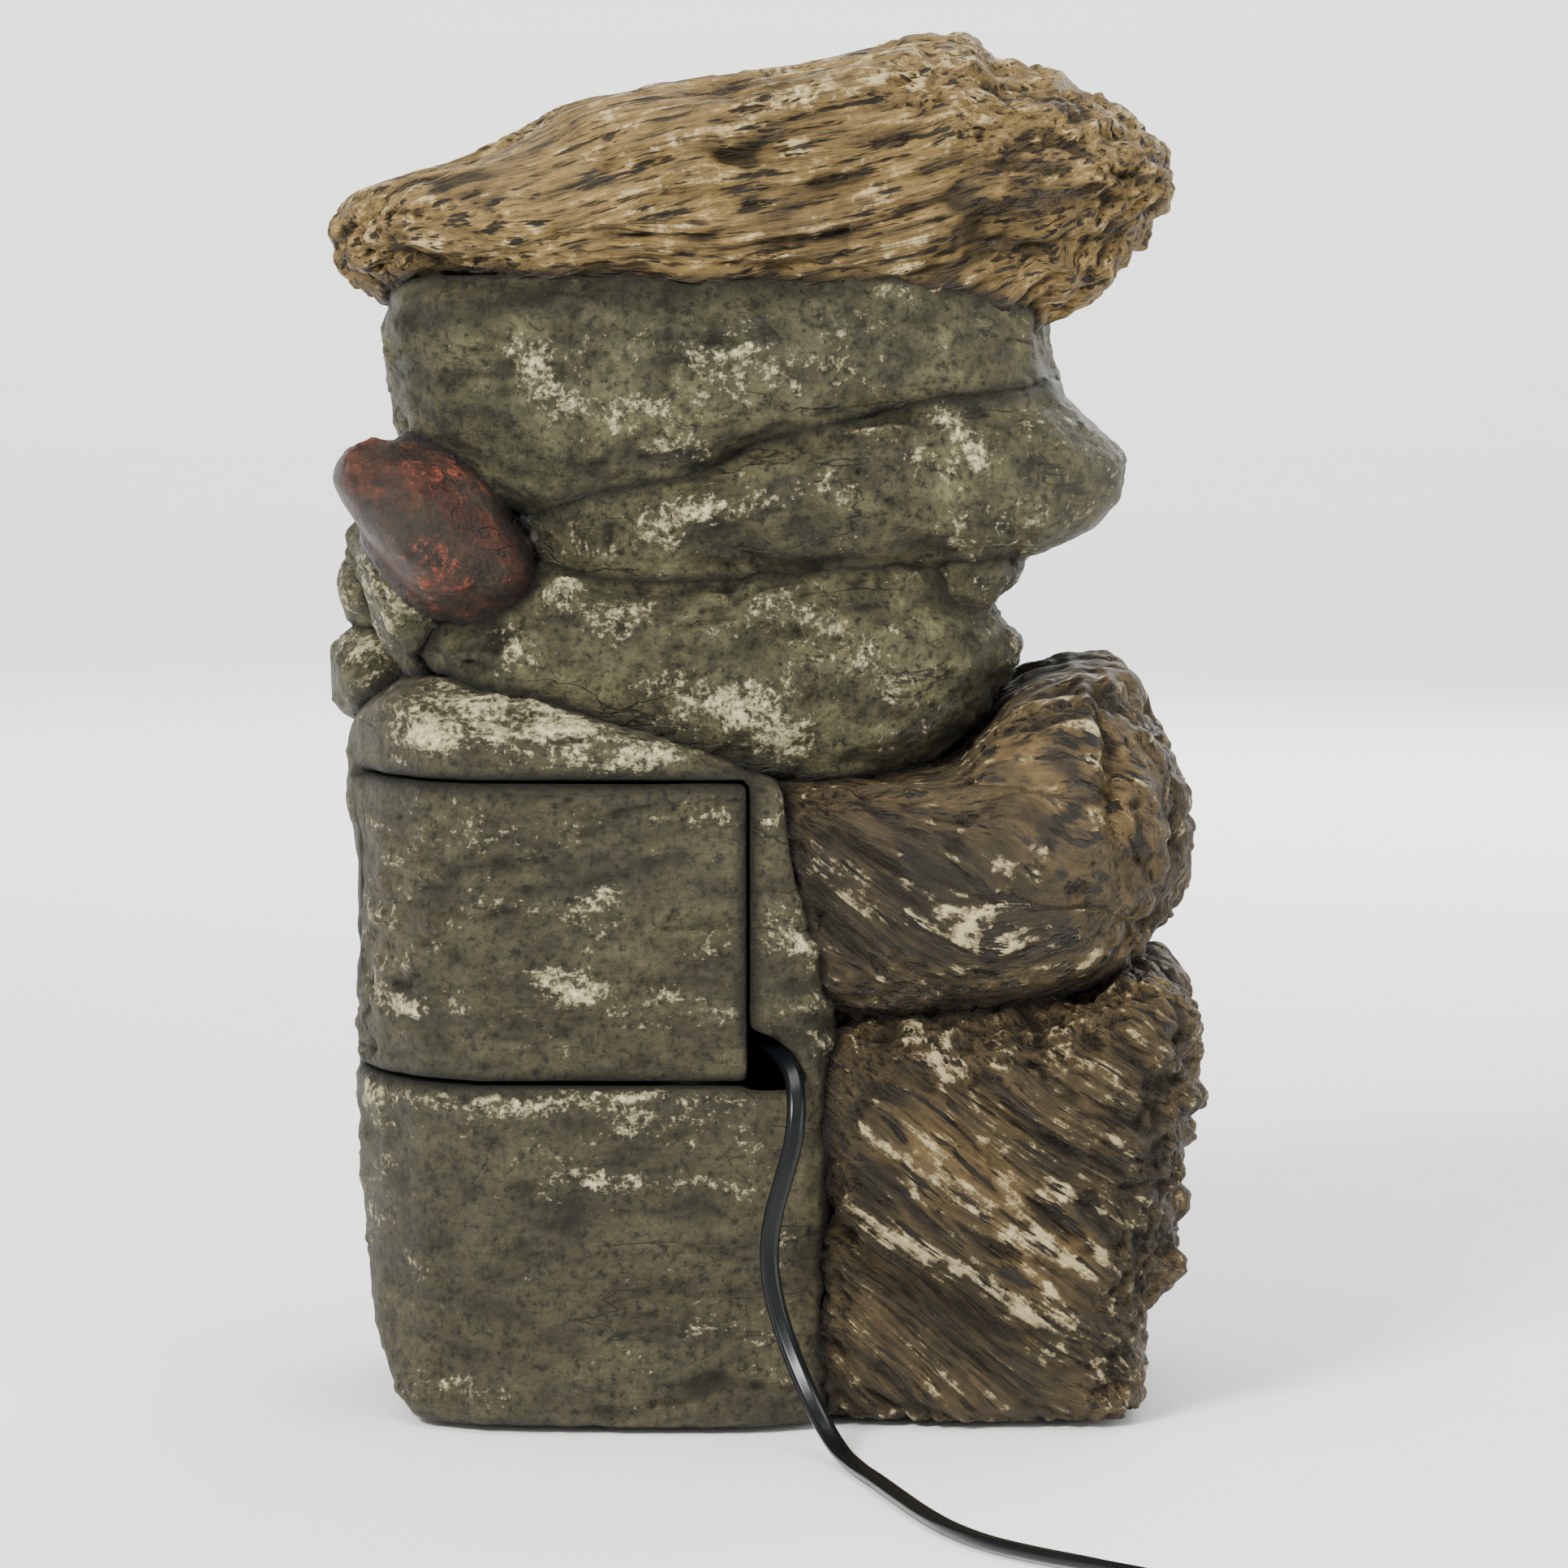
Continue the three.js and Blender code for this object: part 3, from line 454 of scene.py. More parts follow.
def woodRelief(points, normals, look, box, seed):
    flow = grainDirections(points, look, box)
    low, high = np.array(box[0]) / mm, np.array(box[1]) / mm
    wave = look.get("wave", 1)
    bend = noise(flow, (60, 26, 26), seed + 50, 2) * 4.0 * wave
    bend += noise(flow, (22, 12, 12), seed + 53, 2) * 1.2 * wave
    flow = flow + np.stack([bend * 0.3, bend, bend * 0.6], axis=1)
    facing = smoothStep(normals[:, 1], 0, 0.5)
    ring, bump = np.zeros(len(points)), np.zeros(len(points))
    for across, up, radius in look.get("knots", ()):
        centre = (low[0] + across * (high[0] - low[0]), low[2] + up * (high[2] - low[2]))
        away = np.hypot((points[:, 0] - centre[0]) * 0.72, points[:, 2] - centre[1])
        wobble = away + noise(points, radius * 0.7, seed + 61, 3) * radius * 0.5
        near = np.exp(-(wobble / (radius * 1.15)) ** 4) * facing
        ring += near * np.cos(wobble * 2 * math.pi / (radius * 0.34))
        bump += near * (0.9 - 1.6 * np.exp(-(wobble / (radius * 0.32)) ** 2)) * radius * 0.16
        beside = np.sign(flow[:, 1] - flow[away.argmin(), 1])
        flow[:, 1] += np.exp(-(away / (radius * 2)) ** 2) * beside * radius * 0.5
    knot = np.clip(np.abs(ring) + np.abs(bump), 0, 1)
    swell = noise(flow, (80, 15, 15), seed, 2)
    plate, lip = stepped(noise(flow, look.get("plate", (40, 8, 8)), seed + 5, 2), 2.6, 0.14)
    groove = smoothStep(np.abs(noise(flow, (32, 3.6, 3.6), seed + 11, 2)), 0.0, 0.36) - 1
    cut = smoothStep(np.abs(noise(flow, (18, 3.0, 3.0), seed + 15, 1)), 0.0, 0.26) - 1
    fine = noise(flow, (14, 2.2, 2.2), seed + 19, 1)
    gouge = smoothStep(noise(flow, (20, 3.0, 3.0), seed + 23, 1), 0.58, 0.95)
    torn = smoothStep(noise(flow, (50, 20, 20), seed + 27, 2), -0.5, 0.3)
    height = swell * look.get("swell", 1.6) + plate * look.get("plateHeight", 1.9) * torn
    height += (groove * 1.6 + cut * 1.1) * (0.45 + 0.55 * torn)
    height += fine * 0.25 - gouge * 1.5
    relief = 0.42 + plate * 0.12 * torn + groove * 0.9 + cut * 0.7 + fine * 0.4 - gouge * 0.6
    # weathered ends: knobs and worm holes instead of grain
    width = high[0] - low[0]
    rugged = smoothStep((low[0] - points[:, 0]) / width + look.get("rugged", 0), -0.05, 0.06)
    if "ruggedHigh" in look:
        otherEnd = smoothStep((points[:, 0] - high[0]) / width + look["ruggedHigh"], -0.03, 0.03)
        rugged = np.maximum(rugged, otherEnd)
    curl = points + np.stack([noise(points, 11, seed + 63 + k, 2) for k in range(3)], axis=1) * 4
    knobs = np.abs(noise(curl, (15, 12, 8), seed + 31, 3, 0.5))
    holes = smoothStep(noise(curl, (7, 6, 3.6), seed + 37, 1), 0.62, 0.95)
    height = height * (1 - 0.25 * rugged) + rugged * (knobs * 4.6 - 1.4 - holes * 1.6)
    relief = relief * (1 - 0.2 * rugged) + rugged * (knobs * 0.9 - 0.25 - holes * 1.1)
    height = height * (1 - 0.6 * knot) + bump + ring * 0.3
    relief = relief * (1 - 0.5 * knot) + ring * 0.4 * knot
    return height, relief, lip * torn * (1 - rugged), flow, rugged


# Sculpts one casting and stores what its paint needs
def makeCasting(name, node, look, body="fountain"):
    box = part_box(look.get("marksOn", node))
    seed = look["seed"]
    made = remeshed(name, node, look["voxel"])
    mesh = made.data
    points = readPoints(mesh)
    weight = look["crisp"](points) if "crisp" in look else 1.0
    points = relax(mesh, points, look["relax"], weight)
    writePoints(mesh, points)
    normals = readNormals(mesh)
    marks = handMarks(points, normals, box, look.get("marks", ()))
    if look["kind"] == "wood":
        height, relief, lip, flow, rugged = woodRelief(points, normals, look, box, seed)
    else:
        height, relief, lip, flow = stoneRelief(points, look, seed)
        rugged = np.zeros(len(points))
    calm = 1 - marks["smooth"]
    height = height * calm * look.get("strength", 1) + marks["lift"]
    relief = relief * (0.35 + 0.65 * calm) + np.clip(marks["lift"] * 0.12, -0.5, 0.5)
    if "outer" in look:
        height = height * look["outer"](points, normals)
    height = np.clip(height, -look.get("deepest", 5), look.get("highest", 5))
    if "limit" in look:
        height = look["limit"](points, height)
    grow = look["grow"] * (1 if np.isscalar(weight) else weight)
    # castings meet in shallow valleys: near a neighbour each one swells into it
    if "meet" in look:
        close = seamCloseness(points, node, look.get("neighbours", castingNodes), seamReach)
        grow = grow + look["meet"] * smoothStep(close, 0.15, 0.75)
    points = points + normals * (height + grow)[:, None]
    points = relax(mesh, points, look.get("finish", 1), 0.5)
    points[:, 2] = np.maximum(points[:, 2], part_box("reservoir_casting")[0].z / mm)
    writePoints(mesh, points)
    seam = seamCloseness(points, node, look.get("neighbours", castingNodes), seamReach)
    patches = smoothStep(noise(points, (30, 30, 18), seed + 70, 3), 0.15, 0.7) * look.get("dusting", 0.5)
    cream = np.maximum(marks["cream"], patches * (0.5 if look.get("marks") else 1))
    even = relax(mesh, np.stack([relief, lip, lip], axis=1), 2)
    setAttribute(mesh, "relief", np.clip(0.5 + even[:, 0] * 0.5, 0, 1))
    setAttribute(mesh, "lip", even[:, 1])
    setAttribute(mesh, "cream", cream)
    setAttribute(mesh, "tan", np.maximum(marks["tan"], rugged * look.get("ruggedTan", 0)))
    # dark: the marks' darkening, darker paint in places and painted shade along undersides and under the top
    # log
    setAttribute(mesh, "dark", marks["dark"])
    setAttribute(mesh, "seam", np.clip(seam, 0, 1))
    setAttribute(mesh, "flow", flow * mm)
    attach(made, body)
    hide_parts(node)
    print(name, len(points), "points")
    return made


# Paint and plastics

def hexColour(text):
    values = [int(text[i:i + 2], 16) / 255 for i in (1, 3, 5)]
    return [v / 12.92 if v <= 0.04045 else ((v + 0.055) / 1.055) ** 2.4 for v in values] + [1]


def addNode(tree, kind, inputs={}, **settings):
    node = tree.nodes.new(kind)
    for name, value in settings.items():
        setattr(node, name, value)
    for name, value in inputs.items():
        if isinstance(value, bpy.types.NodeSocket):
            tree.links.new(value, node.inputs[name])
        else:
            node.inputs[name].default_value = value
    return node


def newMaterial(name, surface):
    material = bpy.data.materials.new(name)
    material.use_nodes = True
    tree = material.node_tree
    shader = tree.nodes["Principled BSDF"]
    for socket, value in surface.items():
        shader.inputs[socket].default_value = value
    return material, tree, shader


# Links the painted colour, gloss and surface grain to the shader; the varnish follows the same grain
def finishPaint(tree, shader, colour, rough, gloss, height, depth):
    raised = {"Height": height, "Strength": 1.0, "Distance": depth * mm}
    bump = addNode(tree, "ShaderNodeBump", raised).outputs[0]
    for socket, value in (
        ("Base Color", colour), ("Roughness", rough), ("Coat Weight", gloss), ("Normal", bump),
        ("Coat Normal", bump),
    ):
        tree.links.new(value, shader.inputs[socket])


# Hand-painted cast polyresin stone: a grey-olive coat, a dark wash that stays in the hollows and seams,
# chalky cream dry-brushed over the raised edges, and a varnish that glints where the wash lies thick
def stonePaint(name, look):
    surface = {"IOR": 1.5, "Specular IOR Level": 0.3, "Coat Roughness": 0.14, "Coat IOR": 1.48}
    material, tree, shader = newMaterial(name, surface)
    place = addNode(tree, "ShaderNodeTexCoord").outputs["Object"]
    laid, flat = (
        addNode(tree, "ShaderNodeVectorMath", {0: place, 1: stretch}, operation="MULTIPLY").outputs[0]
        for stretch in (look.get("stretch", (1, 1, 1)), (0.3, 0.3, 1))
    )
    relief, lip, cream, dark, seam = (
        addNode(tree, "ShaderNodeAttribute", attribute_name=key).outputs["Fac"]
        for key in ("relief", "lip", "cream", "dark", "seam")
    )
    # each pattern's size is in millimetres
    broad, mottle, grit, dusty, specks, slow = (
        addNode(tree, "ShaderNodeTexNoise", {
            "Vector": at, "Scale": 1 / (size * mm), "Detail": detail, "Roughness": rough, "Distortion": bent,
        }).outputs["Fac"]
        for at, size, detail, rough, bent in (
            (place, look.get("broad", 38), 4, 0.5, 0), (laid, 8, 9, 0.68, 0), (place, 1.8, 5, 0.75, 0),
            (laid, 6, 12, 0.76, 0.7), (place, 1.4, 3, 0.7, 0), (flat, 11, 4, 0.5, 0),
        )
    )
    tones = addNode(tree, "ShaderNodeMapRange", {0: broad, 1: 0.40, 2: 0.60}).outputs[0]
    coats = {0: tones, 6: hexColour(look["coat"]), 7: hexColour(look["coatWarm"])}
    coat = addNode(tree, "ShaderNodeMix", coats, data_type="RGBA").outputs[2]
    faint, strong = look.get("contrast", (0.2, 2.1))
    shade = addNode(tree, "ShaderNodeMapRange", {0: mottle, 1: 0.32, 2: 0.68, 3: faint, 4: strong}).outputs[0]
    grain = addNode(tree, "ShaderNodeMapRange", {0: grit, 1: 0.3, 2: 0.7, 3: 0.4, 4: 1.7}).outputs[0]
    shade = addNode(tree, "ShaderNodeMath", {0: shade, 1: grain}, operation="MULTIPLY").outputs[0]
    coat = addNode(tree, "ShaderNodeVectorMath", {0: coat, 3: shade}, operation="SCALE").outputs[0]
    # wash: where the relief is low, in seams and in fine pits; the dark marks add more, darker paint in
    # places and painted shade along undersides and under the top log
    low = addNode(tree, "ShaderNodeMapRange", {0: relief, 1: 0.54, 2: 0.14, 3: 0.0, 4: 0.85}).outputs[0]
    filled = {0: seam, 1: 0.1, 2: 0.85, 3: 0.0, 4: 0.93}
    joint = addNode(tree, "ShaderNodeMapRange", filled, interpolation_type="SMOOTHSTEP").outputs[0]
    pits = addNode(tree, "ShaderNodeMapRange", {0: grit, 1: 0.46, 2: 0.34, 3: 0.0, 4: 0.85}).outputs[0]
    # the dark marks, thinned by the mottle: darker paint in places, painted shade along undersides and under
    # the top log
    thick = addNode(tree, "ShaderNodeMath", {0: mottle, 1: -0.6, 2: 0.3}, operation="MULTIPLY_ADD").outputs[0]
    darkMarksAndShade = addNode(tree, "ShaderNodeMath", {0: dark, 1: thick}, operation="ADD").outputs[0]
    darkMarksAndShade = addNode(tree, "ShaderNodeMath", {0: darkMarksAndShade, 1: dark}, operation="MULTIPLY").outputs[0]
    # hair cracks run where a slow noise crosses its middle, only in some places
    off = addNode(tree, "ShaderNodeMath", {0: slow, 1: 0.5}, operation="SUBTRACT").outputs[0]
    off = addNode(tree, "ShaderNodeMath", {0: off}, operation="ABSOLUTE").outputs[0]
    line = addNode(tree, "ShaderNodeMapRange", {0: off, 1: 0.010, 2: 0.002, 3: 0, 4: 0.8}).outputs[0]
    sparse = addNode(tree, "ShaderNodeMapRange", {0: broad, 1: 0.50, 2: 0.58, 3: 0, 4: 1}).outputs[0]
    cracks = addNode(tree, "ShaderNodeMath", {0: line, 1: sparse}, operation="MULTIPLY").outputs[0]
    washed = low
    for layer in (joint, darkMarksAndShade, cracks):
        washed = addNode(tree, "ShaderNodeMath", {0: washed, 1: layer}, operation="MAXIMUM").outputs[0]
    washed = addNode(tree, "ShaderNodeMath", {0: washed, 1: pits}, operation="ADD", use_clamp=True).outputs[0]
    layers = {0: washed, 6: coat, 7: hexColour(look["wash"])}
    colour = addNode(tree, "ShaderNodeMix", layers, data_type="RGBA").outputs[2]
    # cream: lacy, broken patches that thin out into specks, strongest on lips and high spots
    aim = 0
    for part, share in (
        (cream, 0.5), (lip, 0.3), (relief, 0.8), (joint, -0.45), (dark, -0.3), (dusty, 2.2), (specks, 2.0),
    ):
        added = {0: part, 1: share, 2: aim}
        aim = addNode(tree, "ShaderNodeMath", added, operation="MULTIPLY_ADD").outputs[0]
    edge = 2.5 + look.get("creamEdge", 0.46)
    brushed = addNode(tree, "ShaderNodeMapRange", {0: aim, 1: edge, 2: edge + 0.42, 3: 0, 4: 0.94}).outputs[0]
    chalk = addNode(tree, "ShaderNodeMapRange", {0: grit, 1: 0.36, 2: 0.58}).outputs[0]
    creams = {0: chalk, 6: hexColour(look["creamDark"]), 7: hexColour(look["cream"])}
    creamy = addNode(tree, "ShaderNodeMix", creams, data_type="RGBA").outputs[2]
    colour = addNode(tree, "ShaderNodeMix", {0: brushed, 6: colour, 7: creamy}, data_type="RGBA").outputs[2]
    shine = look.get("shine", 0.4)
    rough = addNode(tree, "ShaderNodeMapRange", {0: mottle, 1: 0.3, 2: 0.7, 3: shine, 4: 0.7}).outputs[0]
    varnish = look.get("varnish", 0.2)
    gloss = addNode(tree, "ShaderNodeMapRange", {0: washed, 3: varnish * 0.3, 4: varnish}).outputs[0]
    height = mottle
    for part, share in ((grit, 0.8), (brushed, 0.15), (cracks, -0.3)):
        added = {0: part, 1: share, 2: height}
        height = addNode(tree, "ShaderNodeMath", added, operation="MULTIPLY_ADD").outputs[0]
    finishPaint(tree, shader, colour, rough, gloss, height, look.get("bump", 3.2))
    return material


# Hand-painted cast polyresin driftwood: tan coat, umber wash drawn along the grain and deep in the crevices,
# pale cream on the ridges, and a satin varnish that is glossier where the wash lies thick
def driftwoodPaint(name, look):
    surface = {"IOR": 1.5, "Specular IOR Level": 0.3, "Coat Roughness": 0.16, "Coat IOR": 1.48}
    material, tree, shader = newMaterial(name, surface)
    place = addNode(tree, "ShaderNodeTexCoord").outputs["Object"]
    flow = addNode(tree, "ShaderNodeAttribute", attribute_name="flow").outputs["Vector"]
    relief, lip, cream, tan, dark, seam = (
        addNode(tree, "ShaderNodeAttribute", attribute_name=key).outputs["Fac"]
        for key in ("relief", "lip", "cream", "tan", "dark", "seam")
    )
    # along and across the grain, in millimetres: streaks, hair lines and crevices
    grains = {}
    for key, along, across, detail in (("streak", 16, 1.5, 5), ("hair", 10, 0.9, 3), ("crevice", 13, 1.6, 3)):
        size = (1 / (along * mm), 1 / (across * mm), 1 / (across * mm))
        drawn = addNode(tree, "ShaderNodeVectorMath", {0: flow, 1: size}, operation="MULTIPLY").outputs[0]
        laid = {"Vector": drawn, "Scale": 1, "Detail": detail, "Roughness": 0.62}
        grains[key] = addNode(tree, "ShaderNodeTexNoise", laid).outputs["Fac"]
    broad, dusty = (
        addNode(tree, "ShaderNodeTexNoise", {
            "Vector": place, "Scale": 1 / (size * mm), "Detail": detail, "Roughness": rough,
        }).outputs["Fac"]
        for size, detail, rough in ((30, 4, 0.5), (3.5, 8, 0.72))
    )
    tones = addNode(tree, "ShaderNodeMapRange", {0: broad, 1: 0.36, 2: 0.64, 3: -0.3, 4: 0.3}).outputs[0]
    warm = addNode(tree, "ShaderNodeMath", {0: tones, 1: look["tanShare"]}, operation="ADD").outputs[0]
    sunned = {0: tan, 1: 0.9, 2: warm}
    warm = addNode(tree, "ShaderNodeMath", sunned, operation="MULTIPLY_ADD", use_clamp=True).outputs[0]
    coats = {0: warm, 6: hexColour(look["coat"]), 7: hexColour(look["tan"])}
    coat = addNode(tree, "ShaderNodeMix", coats, data_type="RGBA").outputs[2]
    streaks = {0: grains["streak"], 1: 0.32, 2: 0.68, 3: 0.45, 4: 1.6}
    shade = addNode(tree, "ShaderNodeMapRange", streaks).outputs[0]
    grain = addNode(tree, "ShaderNodeMapRange", {0: dusty, 1: 0.3, 2: 0.7, 3: 0.7, 4: 1.3}).outputs[0]
    shade = addNode(tree, "ShaderNodeMath", {0: shade, 1: grain}, operation="MULTIPLY").outputs[0]
    coat = addNode(tree, "ShaderNodeVectorMath", {0: coat, 3: shade}, operation="SCALE").outputs[0]
    # wash: where the relief is low, in seams and crevices, and in hair lines; the dark marks add more, darker
    # paint in places and painted shade along the logs' undersides
    low = addNode(tree, "ShaderNodeMapRange", {0: relief, 1: 0.46, 2: 0.20, 3: 0.0, 4: 0.8}).outputs[0]
    filled = {0: seam, 1: 0.1, 2: 0.85, 3: 0.0, 4: 0.95}
    joint = addNode(tree, "ShaderNodeMapRange", filled, interpolation_type="SMOOTHSTEP").outputs[0]
    hairs = {0: grains["hair"], 1: 0.46, 2: 0.34, 3: 0.0, 4: 0.9}
    lines = addNode(tree, "ShaderNodeMapRange", hairs).outputs[0]
    opened = {0: grains["crevice"], 1: look["crevices"], 2: look["crevices"] - 0.05, 3: 0.0, 4: 0.95}
    deep = addNode(tree, "ShaderNodeMapRange", opened).outputs[0]
    # the dark marks: darker paint in places, painted shade along the logs' undersides
    thick = addNode(tree, "ShaderNodeMath", {0: dark, 1: 0.7}, operation="MULTIPLY").outputs[0]
    washed = low
    for layer in (joint, deep, thick):
        washed = addNode(tree, "ShaderNodeMath", {0: washed, 1: layer}, operation="MAXIMUM").outputs[0]
    drawnOn = {0: washed, 1: lines}
    washed = addNode(tree, "ShaderNodeMath", drawnOn, operation="ADD", use_clamp=True).outputs[0]
    layers = {0: washed, 6: coat, 7: hexColour(look["wash"])}
    colour = addNode(tree, "ShaderNodeMix", layers, data_type="RGBA").outputs[2]
    # cream: thin strokes dragged along the grain over the ridges, broken up by dust
    aim = 0
    for part, share in (
        (cream, 0.5), (lip, 0.25), (relief, 1.0), (joint, -0.4), (dark, -0.35), (deep, -0.5),
        (grains["streak"], 2.6), (dusty, 2.8),
    ):
        added = {0: part, 1: share, 2: aim}
        aim = addNode(tree, "ShaderNodeMath", added, operation="MULTIPLY_ADD").outputs[0]
    edge = 3.2 + look["creamEdge"]
    brushed = addNode(tree, "ShaderNodeMapRange", {0: aim, 1: edge, 2: edge + 0.4, 3: 0, 4: 0.9}).outputs[0]
    creams = {0: dusty, 6: hexColour(look["creamDark"]), 7: hexColour(look["cream"])}
    creamy = addNode(tree, "ShaderNodeMix", creams, data_type="RGBA").outputs[2]
    colour = addNode(tree, "ShaderNodeMix", {0: brushed, 6: colour, 7: creamy}, data_type="RGBA").outputs[2]
    rough = addNode(tree, "ShaderNodeMapRange", {0: washed, 1: 0.0, 2: 1.0, 3: 0.62, 4: 0.42}).outputs[0]
    varnish = look["varnish"]
    gloss = addNode(tree, "ShaderNodeMapRange", {0: washed, 3: varnish * 0.3, 4: varnish}).outputs[0]
    height = grains["streak"]
    for part, share in ((grains["hair"], 0.7), (dusty, 0.5), (deep, -0.4)):
        added = {0: part, 1: share, 2: height}
        height = addNode(tree, "ShaderNodeMath", added, operation="MULTIPLY_ADD").outputs[0]
    finishPaint(tree, shader, colour, rough, gloss, height, 3.2)
    return material


# Moulded, extruded or stamped: even colour, a fine grain from the tool and slightly uneven gloss
def mouldedFinish(name, colour, rough, grain, depth, surface):
    material, tree, shader = newMaterial(name, surface)
    place = addNode(tree, "ShaderNodeTexCoord").outputs["Object"]
    grit, uneven = (
        addNode(
            tree, "ShaderNodeTexNoise", {"Vector": place, "Scale": 1 / (size * mm), "Detail": 3}
        ).outputs["Fac"]
        for size in (grain, 12)
    )
    base = hexColour(colour)
    dark = [v * 0.85 for v in base[:3]] + [1]
    mixed = addNode(tree, "ShaderNodeMix", {0: uneven, 6: dark, 7: base}, data_type="RGBA").outputs[2]
    spread = {0: uneven, 1: 0.35, 2: 0.65, 3: rough - 0.02, 4: rough + 0.04}
    gloss = addNode(tree, "ShaderNodeMapRange", spread).outputs[0]
    bump = addNode(tree, "ShaderNodeBump", {"Height": grit, "Strength": 0.5, "Distance": depth * mm})
    tree.links.new(mixed, shader.inputs["Base Color"])
    tree.links.new(gloss, shader.inputs["Roughness"])
    tree.links.new(bump.outputs[0], shader.inputs["Normal"])
    return material


stoneLook = {
    "coat": "#3f3e2a", "coatWarm": "#4b4730", "wash": "#19180c", "cream": "#efe3b6", "creamDark": "#a0966b",
}
plastic = {"IOR": 1.49}
blackCord = {**plastic, "Specular IOR Level": 0.3}
milkyHose = {**plastic, "Transmission Weight": 0.35}
metal = {"Metallic": 1.0}
paints = {
    "grey": stonePaint("varnished polyresin grey stone", stoneLook),
    "block": stonePaint("varnished polyresin block stone", {
        **stoneLook, "coat": "#3e3b29", "coatWarm": "#46412d", "creamEdge": 0.5, "shine": 0.5,
        "varnish": 0.12, "stretch": (0.4, 0.4, 1), "contrast": (0.5, 1.6),
    }),
    "red": stonePaint("glossy polyresin red pebble", {
        "coat": "#272015", "coatWarm": "#3d2012", "wash": "#120d08", "cream": "#a8563f",
        "creamDark": "#5f2a1b", "creamEdge": 0.3, "shine": 0.28, "varnish": 0.5, "bump": 2.4, "broad": 11,
    }),
    "pale": stonePaint("polyresin river pebble", {
        "coat": "#6d654d", "coatWarm": "#837958", "wash": "#2c281d", "cream": "#d9d2b8",
        "creamDark": "#a59b7c", "shine": 0.3,
    }),
    "tanWood": driftwoodPaint("varnished polyresin tan driftwood", {
        "coat": "#493a1e", "tan": "#836b3e", "wash": "#1d160a", "cream": "#e4d09c", "creamDark": "#a08757",
        "tanShare": 0.75, "creamEdge": 0.34, "varnish": 0.15, "crevices": 0.42,
    }),
    "darkWood": driftwoodPaint("varnished polyresin dark driftwood", {
        "coat": "#342c1a", "tan": "#625030", "wash": "#1a150a", "cream": "#e6d7a8", "creamDark": "#8a764c",
        "tanShare": 0.25, "creamEdge": 0.44, "varnish": 0.25, "crevices": 0.42,
    }),
}
finishes = {
    "cord": ("extruded flexible PVC cord", "#0a0d0e", 0.22, 0.8, 0.01, blackCord),
    "rubber": ("moulded black rubber", "#141414", 0.62, 0.6, 0.04, plastic),
    "plastic": ("injection moulded black ABS", "#191a1c", 0.42, 0.5, 0.03, plastic),
    "hose": ("extruded milky PVC hose", "#c3cbc6", 0.26, 1.2, 0.01, milkyHose),
    "brass": ("stamped brass", "#c9a457", 0.3, 0.4, 0.01, metal),
    "steel": ("laminated silicon steel", "#8d8f92", 0.42, 0.4, 0.02, metal),
    "copper": ("enamelled copper wire", "#a3592c", 0.35, 0.5, 0.05, metal),
    "ceramic": ("ground alumina ceramic", "#e9e6dd", 0.25, 0.4, 0.005, plastic),
    "ferrite": ("sintered ferrite magnet", "#3a3b3d", 0.5, 0.4, 0.02, plastic),
}
for key, settings in finishes.items():
    paints[key] = mouldedFinish(*settings)
print("paints mixed")


def paint(piece, name):
    piece.data.materials.clear()
    piece.data.materials.append(paints[name])


# Castings of the stack

coverLow, coverHigh = (np.array(corner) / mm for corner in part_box("access_cover"))
reservoirLow, reservoirHigh = (np.array(corner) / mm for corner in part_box("reservoir_casting"))
# the cover's opening runs on past its outer corner, to the side and to the back
openPast = [20, 10, 0]
# how far the walls stand from the reservoir's middle, where its rear half begins, and its crown's height
blockCarving = {"wallOut": 40, "rearFrom": -8, "crownFrom": 131, "crownFull": 134}


# How far a point is outside the cover's box, in millimetres
def fromCover(points):
    beyond = np.maximum(coverLow - points, points - coverHigh - openPast)
    return np.linalg.norm(np.maximum(beyond, 0), axis=1)


def reservoirCrisp(points):
    return smoothStep(fromCover(points), 0.5, 5.0) * 0.9 + 0.1


# Only the outside of the reservoir is carved; its chamber and pool stay smooth
def reservoirOuter(points, normals):
    middle = (reservoirLow + reservoirHigh) / 2
    out = ((points - middle) * normals)[:, :2].sum(axis=1) / blockCarving["wallOut"]
    rear = points[:, 1] > blockCarving["rearFrom"]
    outer = np.where(rear, smoothStep(out, 0.1, 0.6), smoothStep(out, 0.25, 0.7))
    crown = smoothStep(points[:, 2], blockCarving["crownFrom"], blockCarving["crownFull"])
    crown = smoothStep(normals[:, 2], 0.2, 0.7) * crown
    return np.maximum(outer, crown) * smoothStep(fromCover(points), 0.6, 3.2) * 0.92 + 0.06


# How far a point is inside the three sides where the cover meets the reservoir
def fromCoverEdge(points):
    sides = [points[:, 0] - coverLow[0], points[:, 2] - coverLow[2], coverHigh[2] - points[:, 2]]
    return np.minimum.reduce(sides)


def coverOuter(points, normals):
    skin = smoothStep(normals[:, 1] + normals[:, 0], 0.35, 0.8)
    return skin * (0.3 + 0.7 * smoothStep(fromCoverEdge(points), 0.3, 2.5))


# The narrow gap round the cover has to stay open, so its rim is hardly carved
def coverLimit(points, height):
    return np.where(fromCoverEdge(points) < 0.6, np.clip(height, -0.3, 0.12), height)


